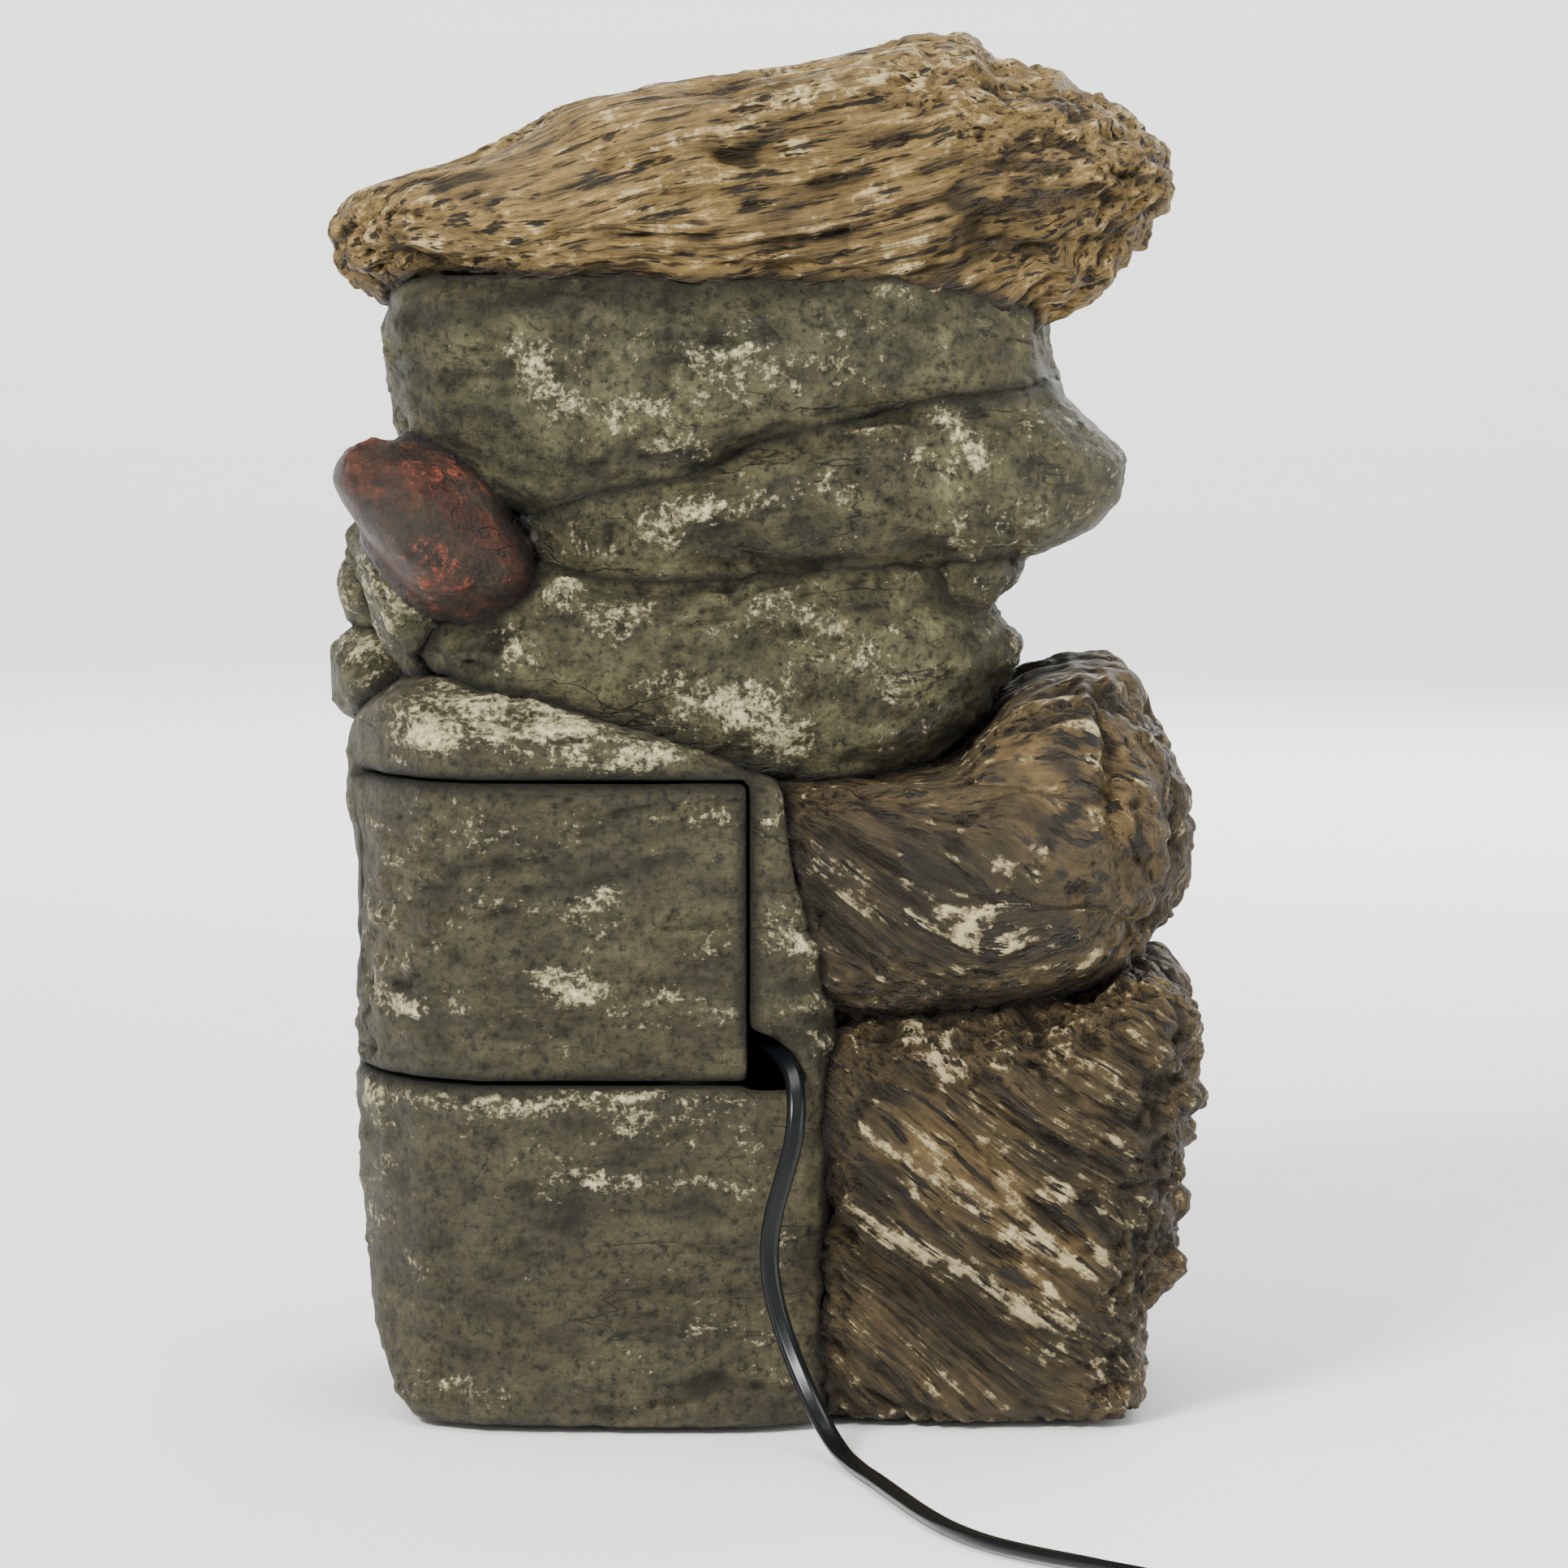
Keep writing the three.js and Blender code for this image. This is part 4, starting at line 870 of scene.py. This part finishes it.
blockRelief = {
    "kind": "stone", "flakeSize": (34, 20, 7), "tilt": -3, "swell": 0.7, "flake": 1.1, "chip": 0.6,
    "rough": 0.42, "crack": 0.9, "dusting": 0.35, "marksOn": "reservoir_casting", "slot": "cast_stone",
    "seed": 3,
}
reservoirLook = {
    **blockRelief, "voxel": 1.1, "relax": 14, "crisp": reservoirCrisp, "outer": reservoirOuter, "grow": 0.3,
    "marks": [
        {"line": [(0.90, 0.93), (0.86, 0.96), (0.70, 0.935)], "reach": 7.5, "cream": 1.0},
        {"line": [(0.70, 0.92), (0.60, 0.885)], "reach": 5, "cream": 0.8},
        {"line": [(0.955, 0.445), (0.76, 0.44), (0.66, 0.45), (0.49, 0.445)], "reach": 3.0, "cream": 1.0},
        {"line": [(0.95, 0.42), (0.94, 0.32), (0.97, 0.24)], "reach": 5, "cream": 0.9},
        {"line": [(0.66, 0.425), (0.50, 0.42)], "reach": 4.5, "cream": 0.8},
        {"line": [(0.90, 0.52), (0.60, 0.58), (0.50, 0.70)], "reach": 9, "cream": 0.3},
        {"line": [(0.52, 0.42), (0.47, 0.38)], "reach": 4, "cream": 0.6},
        {"line": [(0.42, 0.53), (0.395, 0.50)], "reach": 3.0, "cream": 1.0},
        {"line": [(0.40, 0.62), (0.405, 0.57)], "reach": 4, "cream": 0.75},
        {"line": [(0.43, 0.74), (0.42, 0.66)], "reach": 4, "cream": 0.6},
        {"line": [(0.455, 0.26), (0.46, 0.23)], "reach": 3.2, "cream": 0.95},
        {"line": [(0.70, 0.33), (0.56, 0.34), (0.49, 0.32)], "reach": 2.2, "cream": 0.8, "lift": 0.7},
        {"line": [(0.49, 0.30), (0.46, 0.25), (0.455, 0.14)], "reach": 1.6, "lift": -0.8},
        {"line": [(0.86, 0.06), (0.80, 0.04)], "reach": 3.5, "cream": 0.9},
        {"line": [(0.91, 0.26), (0.91, 0.22)], "reach": 3.5, "cream": 0.7},
        {"line": [(0.75, 0.31), (0.72, 0.30)], "reach": 3.5, "cream": 0.5},
        {"line": [(0.88, 0.18), (0.55, 0.20)], "reach": 26, "dark": 0.45},
    ],
}
coverLook = {
    **blockRelief, "voxel": 0.8, "relax": 3, "outer": coverOuter, "limit": coverLimit, "grow": 0.1,
    "marks": [
        {"line": [(0.735, 0.605), (0.70, 0.595)], "reach": 4.2, "cream": 1.0},
        {"line": [(0.70, 0.70), (0.66, 0.69)], "reach": 5, "cream": 0.55},
        {"line": [(0.66, 0.64), (0.74, 0.655)], "reach": 3, "cream": 0.5},
        {"line": [(0.96, 0.585), (0.93, 0.565), (0.90, 0.555)], "reach": 2.0, "cream": 1.0, "lift": 0.5},
        {"line": [(0.98, 0.60), (0.93, 0.545), (0.87, 0.525)], "reach": 1.3, "lift": -1.1},
        {"line": [(0.75, 0.53), (0.72, 0.51)], "reach": 3.0, "cream": 0.6},
        {"line": [(0.90, 0.73), (0.80, 0.71)], "reach": 1.6, "cream": 0.4, "lift": 0.4},
        {"line": [(0.86, 0.80), (0.62, 0.81)], "reach": 1.3, "cream": 0.35, "lift": 0.4},
    ],
}
paint(makeCasting("reservoir_stone", "reservoir_casting", reservoirLook), "block")
paint(makeCasting("cover_stone", "access_cover", coverLook, "cover"), "block")

stoneShape = {"kind": "stone", "voxel": 1.0, "relax": 26, "slot": "cast_stone", "grow": 0.5, "meet": 1.5}
rubbleShape = {**stoneShape, "voxel": 1.2, "relax": 14, "flakeSize": (12, 10, 7), "dusting": 0.8}
bowlShape = {
    **stoneShape, "voxel": 1.1, "relax": 8, "flakeSize": (16, 12, 8), "strength": 0.6, "grow": 0.3,
    "dusting": 0.8,
}
rimShape = {**stoneShape, "voxel": 1.2, "relax": 10, "strength": 0.7, "grow": 0.3}
stones = {
    "upper_stone": {
        **stoneShape, "seed": 11, "tilt": -6, "dusting": 0.5, "marks": [
            {"line": [(0.76, 0.60), (0.72, 0.50)], "reach": 6, "cream": 0.8},
            {"line": [(0.52, 0.62), (0.44, 0.66), (0.40, 0.58)], "reach": 6, "cream": 0.8},
            {"line": [(0.58, 0.30), (0.53, 0.28)], "reach": 4.2, "cream": 1.0},
            {"line": [(0.32, 0.64), (0.28, 0.60)], "reach": 5, "cream": 0.7},
            {"line": [(0.64, 0.43), (0.60, 0.42)], "reach": 4.5, "cream": 0.8, "lift": 0.8},
            {"line": [(0.88, 0.52), (0.86, 0.46)], "reach": 4, "cream": 0.5},
            {"line": [(0.57, 0.66), (0.57, 0.54)], "reach": 1.2, "lift": -0.9, "dark": 0.8},
            # painted shadow of the top log across the stone's top
            {"line": [(0.97, 0.80), (0.80, 0.88), (0.60, 0.95), (0.30, 0.95)], "reach": 6, "dark": 0.85},
            {"line": [(0.97, 0.55), (0.86, 0.50)], "reach": 7, "dark": 0.6},
            {"line": [(0.86, 0.30), (0.76, 0.16)], "reach": 6, "dark": 0.5},
        ],
    },
    "second_stone": {
        **stoneShape, "seed": 23, "tilt": 9, "swell": 1.3, "flake": 1.4, "meet": 2.4, "dusting": 0.4,
        "marks": [
            {"line": [(0.33, 0.95), (0.30, 0.80), (0.265, 0.60)], "reach": 2.6, "lift": 0.9, "cream": 1.0},
            {"line": [(0.35, 0.62), (0.33, 0.58)], "reach": 3.5, "cream": 0.75},
            {"line": [(0.78, 0.32), (0.70, 0.34), (0.60, 0.40)], "reach": 5, "cream": 0.95},
            {"line": [(0.55, 0.46), (0.50, 0.48)], "reach": 4.5, "cream": 0.7},
            {"line": [(0.88, 0.53), (0.92, 0.36)], "reach": 4, "cream": 0.8},
            {"line": [(0.94, 0.16), (0.84, 0.12)], "reach": 3.5, "cream": 0.7},
            {"line": [(0.22, 0.60), (0.06, 0.50)], "reach": 16, "smooth": 0.75},
            # painted shade along the stone's underside
            {"line": [(0.72, 0.20), (0.52, 0.10), (0.30, 0.06)], "reach": 4, "dark": 0.8},
            {"line": [(0.64, 0.28), (0.56, 0.24)], "reach": 5, "dark": 0.7},
        ],
    },
    "third_stone": {
        **stoneShape, "seed": 37, "tilt": -12, "flakeSize": (20, 14, 9), "flake": 2.3, "chip": 1.3,
        "swell": 1.6, "dusting": 0.55, "marks": [
            {"line": [(0.72, 0.78), (0.62, 0.72)], "reach": 6, "cream": 0.95},
            {"line": [(0.56, 0.46), (0.46, 0.38)], "reach": 6, "cream": 0.95},
            {"line": [(0.40, 0.76), (0.30, 0.68)], "reach": 6, "cream": 0.65},
            {"line": [(0.24, 0.50), (0.18, 0.42)], "reach": 6, "cream": 0.75},
            {"line": [(0.42, 0.22), (0.36, 0.18)], "reach": 5, "cream": 1.0},
            {"line": [(0.84, 0.66), (0.78, 0.60)], "reach": 5, "cream": 0.9},
            {"line": [(0.22, 0.72), (0.14, 0.66), (0.06, 0.58)], "reach": 7, "smooth": 0.6},
            {"line": [(0.62, 0.55), (0.56, 0.62), (0.36, 0.52)], "reach": 4, "dark": 0.6},
            {"line": [(0.10, 0.40), (0.20, 0.20)], "reach": 5, "dark": 0.6},
        ],
    },
    "wedge_stone": {**stoneShape, "seed": 41, "relax": 20},
    "side_stone": {**stoneShape, "seed": 43, "relax": 24, "dusting": 0.8},
    "rubble_stone_1": {**rubbleShape, "seed": 47},
    "rubble_stone_2": {**rubbleShape, "seed": 53},
    "rock_face": {**stoneShape, "seed": 59, "voxel": 1.3, "relax": 24, "flake": 2.0, "dusting": 0.7},
    "upper_bowl": {**bowlShape, "seed": 61},
    "lower_bowl": {**bowlShape, "seed": 67},
    "rim_stone_1": {**rimShape, "seed": 71},
    "rim_stone_2": {**rimShape, "seed": 73},
    "rim_stone_3": {**rimShape, "seed": 79},
}
for node, look in stones.items():
    name = node.replace("_stone", "_boulder") if "_stone" in node else node + "_cast"
    paint(makeCasting(name, node, look), "grey")

redLook = {
    **stoneShape, "seed": 83, "voxel": 0.9, "relax": 30, "strength": 0.5, "meet": 2.4, "slot": "red_stone",
    "tilt": 50, "dusting": 1.0, "flakeSize": (16, 12, 7),
}
paint(makeCasting("red_pebble_cast", "red_pebble", redLook), "red")

pebbleShape = {
    "kind": "stone", "voxel": 0.7, "relax": 14, "strength": 0.22, "grow": 0.1, "finish": 2,
    "flakeSize": (12, 12, 12), "neighbours": ["reservoir_casting"], "slot": "river_stone",
}
pebblePaints = ["pale", "red", "grey", "pale", "grey"]
for i, finish in enumerate(pebblePaints, 1):
    pebbleLook = {**pebbleShape, "seed": 90 + i}
    paint(makeCasting(f"river_pebble_cast_{i}", f"river_pebble_{i}", pebbleLook), finish)
print("stones done")

woodShape = {
    "kind": "wood", "voxel": 0.8, "finish": 2, "relax": 30, "slot": "cast_driftwood", "grow": 0.6,
    "meet": 1.3, "deepest": 6, "highest": 6,
}
topLogLook = {
    **woodShape, "seed": 101, "tilt": 11, "wave": 0.5, "rugged": 0.22, "ruggedTan": 0.8, "ruggedHigh": 0.02,
    "plate": (44, 8, 8), "knots": [(0.72, 0.31, 7.5)], "dusting": 0.4, "marks": [
        {"line": [(0.77, 0.56), (0.68, 0.63), (0.60, 0.72)], "reach": 8, "smooth": 0.8, "tan": 1.0},
        {"line": [(0.66, 0.55), (0.61, 0.57)], "reach": 2.2, "lift": -2.6},
        {"line": [(0.53, 0.58), (0.47, 0.60)], "reach": 2.4, "lift": -2.8},
        {"line": [(0.60, 0.44), (0.54, 0.47)], "reach": 1.8, "lift": -1.8},
        {"line": [(0.42, 0.52), (0.36, 0.55)], "reach": 2.0, "lift": -2.0},
        {
            "line": [(0.245, 0.97), (0.262, 0.80), (0.29, 0.62), (0.285, 0.50), (0.31, 0.30)],
            "reach": 4.5, "lift": 3.2,
        },
        {
            "line": [(0.26, 0.52), (0.20, 0.42), (0.14, 0.40)],
            "reach": 8, "lift": -3.4, "tan": 1.0, "smooth": 0.5,
        },
        {"line": [(0.235, 0.33), (0.20, 0.33)], "reach": 3.2, "lift": -3.2},
        {"line": [(0.25, 0.25), (0.18, 0.26)], "reach": 2.4, "lift": -2.4},
        {"line": [(0.51, 0.13), (0.49, 0.11)], "reach": 2.6, "cream": 1.0, "lift": 0.8},
        {"line": [(0.33, 0.17), (0.27, 0.17)], "reach": 2.4, "cream": 0.9, "lift": 0.6},
        {"line": [(0.99, 0.38), (0.90, 0.50)], "reach": 6, "tan": 0.7},
        {"line": [(0.92, 0.22), (0.70, 0.14), (0.40, 0.12)], "reach": 2.0, "lift": -1.6},
        {"line": [(0.28, 0.86), (0.42, 0.78), (0.55, 0.70)], "reach": 2.6, "lift": 1.2, "cream": 0.4},
        # painted shade along the log's underside, with darker wash
        {"line": [(0.92, 0.10), (0.60, 0.02), (0.20, 0.06)], "reach": 5, "dark": 0.9},
        {"line": [(0.24, 0.30), (0.16, 0.27)], "reach": 4, "dark": 0.8},
    ],
}
middleLogLook = {
    **woodShape, "seed": 131, "fan": (1.10, 0.80), "fanReach": 44, "rugged": 0.20, "ruggedTan": 0.35,
    "knots": [(0.26, 0.36, 6.5), (0.38, 0.675, 3.2), (0.653, 0.21, 3.0)], "dusting": 0.35, "swell": 1.2,
    "marks": [
        {"line": [(0.42, 0.86), (0.34, 0.72), (0.30, 0.62)], "reach": 10, "tan": 0.5, "smooth": 0.45},
        {"line": [(0.22, 0.98), (0.205, 0.86), (0.19, 0.70), (0.186, 0.56)], "reach": 2.2, "lift": -2.6},
        {"line": [(0.25, 1.0), (0.235, 0.86), (0.225, 0.70)], "reach": 2.4, "lift": 2.2, "cream": 0.5},
        {"line": [(0.13, 0.84), (0.12, 0.66)], "reach": 8, "tan": 0.6},
        {"line": [(0.80, 0.455), (0.60, 0.36), (0.36, 0.25)], "reach": 6.5, "cream": 0.75},
        {"line": [(0.62, 0.50), (0.45, 0.40)], "reach": 4, "cream": 0.45},
        {"line": [(0.66, 0.12), (0.36, 0.12)], "reach": 5, "smooth": 0.6},
        {"line": [(0.95, 0.55), (0.84, 0.42), (0.74, 0.55)], "reach": 9, "dark": 0.75},
        # painted shade along the log's underside, with darker wash
        {"line": [(0.80, 0.05), (0.50, 0.03), (0.25, 0.06)], "reach": 5, "dark": 0.8},
        {"line": [(0.12, 0.36), (0.06, 0.30)], "reach": 8, "dark": 0.7},
    ],
}
lowerLogLook = {
    **woodShape, "seed": 151, "tilt": -38, "rugged": 0.15, "ruggedTan": 0.25, "plate": (46, 9, 9),
    "dusting": 0.35, "marks": [
        {"line": [(0.68, 0.60), (0.54, 0.51), (0.40, 0.40)], "reach": 9, "cream": 0.55, "tan": 1.0},
        {
            "line": [(0.86, 0.50), (0.79, 0.43), (0.57, 0.34), (0.47, 0.27), (0.35, 0.215)],
            "reach": 3.0, "lift": 2.2, "cream": 0.95,
        },
        {"line": [(0.86, 0.44), (0.76, 0.36), (0.55, 0.27), (0.42, 0.20)], "reach": 3.5, "lift": -1.8},
        {
            "line": [(0.78, 0.92), (0.58, 0.74), (0.40, 0.58), (0.26, 0.42)],
            "reach": 3.6, "lift": 2.0, "cream": 0.5,
        },
        {"line": [(0.30, 0.50), (0.24, 0.42)], "reach": 4.5, "cream": 0.9},
        {"line": [(0.25, 0.13), (0.22, 0.12)], "reach": 3.4, "cream": 0.9},
        {"line": [(0.84, 0.22), (0.60, 0.12), (0.40, 0.08)], "reach": 9, "smooth": 0.7},
        {"line": [(0.62, 0.96), (0.30, 0.97)], "reach": 5, "lift": 1.2},
        {"line": [(0.98, 0.90), (0.96, 0.30)], "reach": 6, "dark": 0.75},
        {"line": [(0.90, 0.36), (0.72, 0.30), (0.60, 0.23)], "reach": 5, "dark": 0.8},
        {"line": [(0.75, 0.80), (0.60, 0.70)], "reach": 6, "dark": 0.5},
    ],
}
paint(makeCasting("top_log_cast", "top_log", topLogLook), "tanWood")
paint(makeCasting("middle_log_cast", "middle_log", middleLogLook), "darkWood")
paint(makeCasting("lower_log_cast", "lower_log", lowerLogLook), "darkWood")
branchLook = {
    **woodShape, "seed": 171, "voxel": 1.0, "relax": 20, "tilt": 84, "swell": 3.2, "plateHeight": 2.4,
    "grow": 0.5,
}
paint(makeCasting("branch_cast", "front_branch", branchLook), "darkWood")
burlLook = {**woodShape, "seed": 181, "voxel": 1.1, "relax": 8, "tilt": 8, "strength": 0.5, "grow": 0.3}
paint(makeCasting("middle_bowl_cast", "middle_bowl", burlLook), "tanWood")
print("logs done")


# Feet, pump and cord pieces

def replaceTurned(name, node, profile, axis, place, finish, soft=0.3):
    piece = turned(name, profile, axis, place, soft)
    paint(piece, finish)
    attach(piece, "fountain")
    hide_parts(node)
    return piece


# A node's box in millimetres: its low corner, its middle and its high corner
def spanOf(node):
    low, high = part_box(node)
    return low / mm, (low + high) / 2 / mm, high / mm


footProfile = [(0, 0.15), (4.6, 0.15), (5.0, 0), (7, 0), (6.8, 1.15), (0, 1.15)]
for i in range(1, 5):
    node = f"rubber_foot_{i}"
    low, middle, high = spanOf(node)
    ground = (middle.x, middle.y, 0)
    replaceTurned(f"foot_pad_{i}", node, footProfile, "z", ground, "rubber", soft=0.2)

cupProfile = [(0, 0), (2.4, 0), (2.4, -1.8), (5.6, -5.7), (4.8, -5.7), (1.6, -3), (0, -3)]
for i in range(1, 5):
    node = f"suction_cup_{i}"
    low, middle, high = spanOf(node)
    top = (middle.x, middle.y, high.z)
    replaceTurned(f"pump_cup_{i}", node, cupProfile, "z", top, "rubber")

sleeveProfile = [(7.2, 0), (12, 0), (12, 4), (9, 4), (9, 9), (7.2, 9), (7.2, 0)]
low, middle, high = spanOf("spout_sleeve")
mouth = (middle.x, low.y, middle.z)
replaceTurned("hose_sleeve", "spout_sleeve", sleeveProfile, "y", mouth, "plastic", soft=0.5)

glandProfile = [(0, 0), (4, 0), (4, 2), (3.2, 3), (2.3, 13), (0, 13)]
low, middle, high = spanOf("cord_gland")
seat = (middle.x, middle.y, low.z)
replaceTurned("pump_gland", "cord_gland", glandProfile, "z", seat, "rubber", soft=0.5)

# The strain relief is turned with ribs along it
ribs = {"count": 4, "from": 3, "pitch": 2.1, "radius": 3.1, "taper": 0.18, "depth": 0.7}
low, middle, high = spanOf("adapter_strain_relief")
reliefProfile = [(0, 0), (3.6, 0), (3.5, 2.2)]
for rib in range(ribs["count"]):
    at = ribs["from"] + rib * ribs["pitch"]
    radius = ribs["radius"] - rib * ribs["taper"]
    neck = radius - ribs["depth"]
    reliefProfile += [(neck, at), (neck, at + 0.7), (radius, at + 0.9), (radius - 0.05, at + 1.9)]
reliefProfile += [(2.3, high.x - low.x), (0, high.x - low.x)]
outwards = [(radius, -along) for radius, along in reliefProfile]
face = (high.x, middle.y, middle.z)
relief = replaceTurned("cord_relief", "adapter_strain_relief", outwards, "x", face, "rubber")

keptNodes = {
    "pump_housing": ("plastic", 0.5), "pump_head": ("plastic", 0.4), "intake_cover": ("plastic", 0.4),
    "stator_core": ("steel", 0.2), "stator_coil": ("copper", 0.8), "pump_back_plate": ("plastic", 0.3),
    "rotor_magnet": ("ferrite", 0.3), "impeller": ("plastic", 0.15), "rotor_shaft": ("ceramic", 0.15),
    "shaft_bush_front": ("rubber", 0.15), "shaft_bush_rear": ("rubber", 0.2), "head_seal": ("rubber", 0.1),
    "flow_slider": ("plastic", 0.3), "adapter_body": ("plastic", 1.2), "adapter_blade_1": ("brass", 0.3),
    "adapter_blade_2": ("brass", 0.3), "cord_strap": ("rubber", 0.3),
}
for node, (finish, width) in keptNodes.items():
    paint(nodes[node], finish)
    softenEdges(nodes[node], width)

# Riser hose: an open tube given its wall by a solidify modifier
hoseSettings = {"outer": 6.8, "wall": 1.5, "bend": 14, "standsAt": 16, "straightTo": 130, "around": 28}
low, middle, high = spanOf("riser_hose")
outer, bend, back = (hoseSettings[key] for key in ("outer", "bend", "standsAt"))
bendTop = high.z - outer
hoseRoute = [
    [middle.x, back, low.z], [middle.x, back, hoseSettings["straightTo"]], [middle.x, back, bendTop - bend],
    [middle.x, back - bend * 0.3, bendTop - bend * 0.3], [middle.x, back - bend, bendTop],
    [middle.x, low.y, bendTop],
]
hosePath = smoothPath(hoseRoute, 2)
hoseTurns = [2 * math.pi * k / hoseSettings["around"] for k in range(hoseSettings["around"])]
hoseSection = [(outer * math.cos(turn), outer * math.sin(turn)) for turn in hoseTurns]
hose = sweep("riser_tube", hosePath, hoseSection, capped=False)
wall = hose.modifiers.new("wall", "SOLIDIFY")
wall.thickness = hoseSettings["wall"] * mm
wall.offset = -1
paint(hose, "hose")
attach(hose, "fountain")
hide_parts("riser_hose")

paint(cord, "cord")
paint(cordInside, "cord")
for piece, replaced in ((cord, ["cord_lead", "cord_coil", "cord_tail"]), (cordInside, ["cord_inside"])):
    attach(piece, "fountain")
    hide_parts(*replaced)
print("pump and cord done")


# Floor and light

stageSettings = {"radius": 3200, "curve": 700, "rise": 1300}


# A round white cove, so the ground looks the same from every side
def makeStage():
    radius, curve = stageSettings["radius"], stageSettings["curve"]
    profile = [(0, 0), (radius - curve, 0)]
    for turn in np.linspace(0.1, math.pi / 2, 14):
        profile.append((radius - curve + curve * math.sin(turn), curve - curve * math.cos(turn)))
    profile.append((radius, stageSettings["rise"]))
    floor = turned("studio_floor", profile, "z", (0, 0, 0))
    floor.data.flip_normals()
    paper = {"Roughness": 0.85, "Base Color": hexColour("#f6f6f4")}
    floor.data.materials.append(newMaterial("matt white paper cove", paper)[0])


worldStrength = 0.42
lamps = {
    "key": {"at": (0.9, 1.5, 1.35), "size": 0.55, "power": 72},
    "fill": {"at": (-1.3, 1.2, 0.7), "size": 1.2, "power": 13},
    "top": {"at": (0.0, 0.1, 1.6), "size": 1.1, "power": 22},
    "front": {"at": (-0.6, -1.4, 1.0), "size": 1.2, "power": 26},
    "wall": {"at": (0.0, -1.6, 1.7), "size": 2.0, "power": 60, "towards": (0, -3.2, 0.5)},
}


def makeLights():
    for name, lamp in lamps.items():
        data = bpy.data.lights.new(name, "AREA")
        data.size = lamp["size"]
        data.energy = lamp["power"]
        light = bpy.data.objects.new(name, data)
        bpy.context.scene.collection.objects.link(light)
        light.location = lamp["at"]
        target = Vector(lamp.get("towards", (0, 0, 0.13)))
        light.rotation_euler = (target - light.location).to_track_quat("-Z", "Y").to_euler()
    world = bpy.data.worlds.new("studio")
    bpy.context.scene.world = world
    world.use_nodes = True
    sky = world.node_tree.nodes["Background"]
    sky.inputs["Color"].default_value = hexColour("#ffffff")
    sky.inputs["Strength"].default_value = worldStrength


makeStage()
makeLights()
print("stage ready")
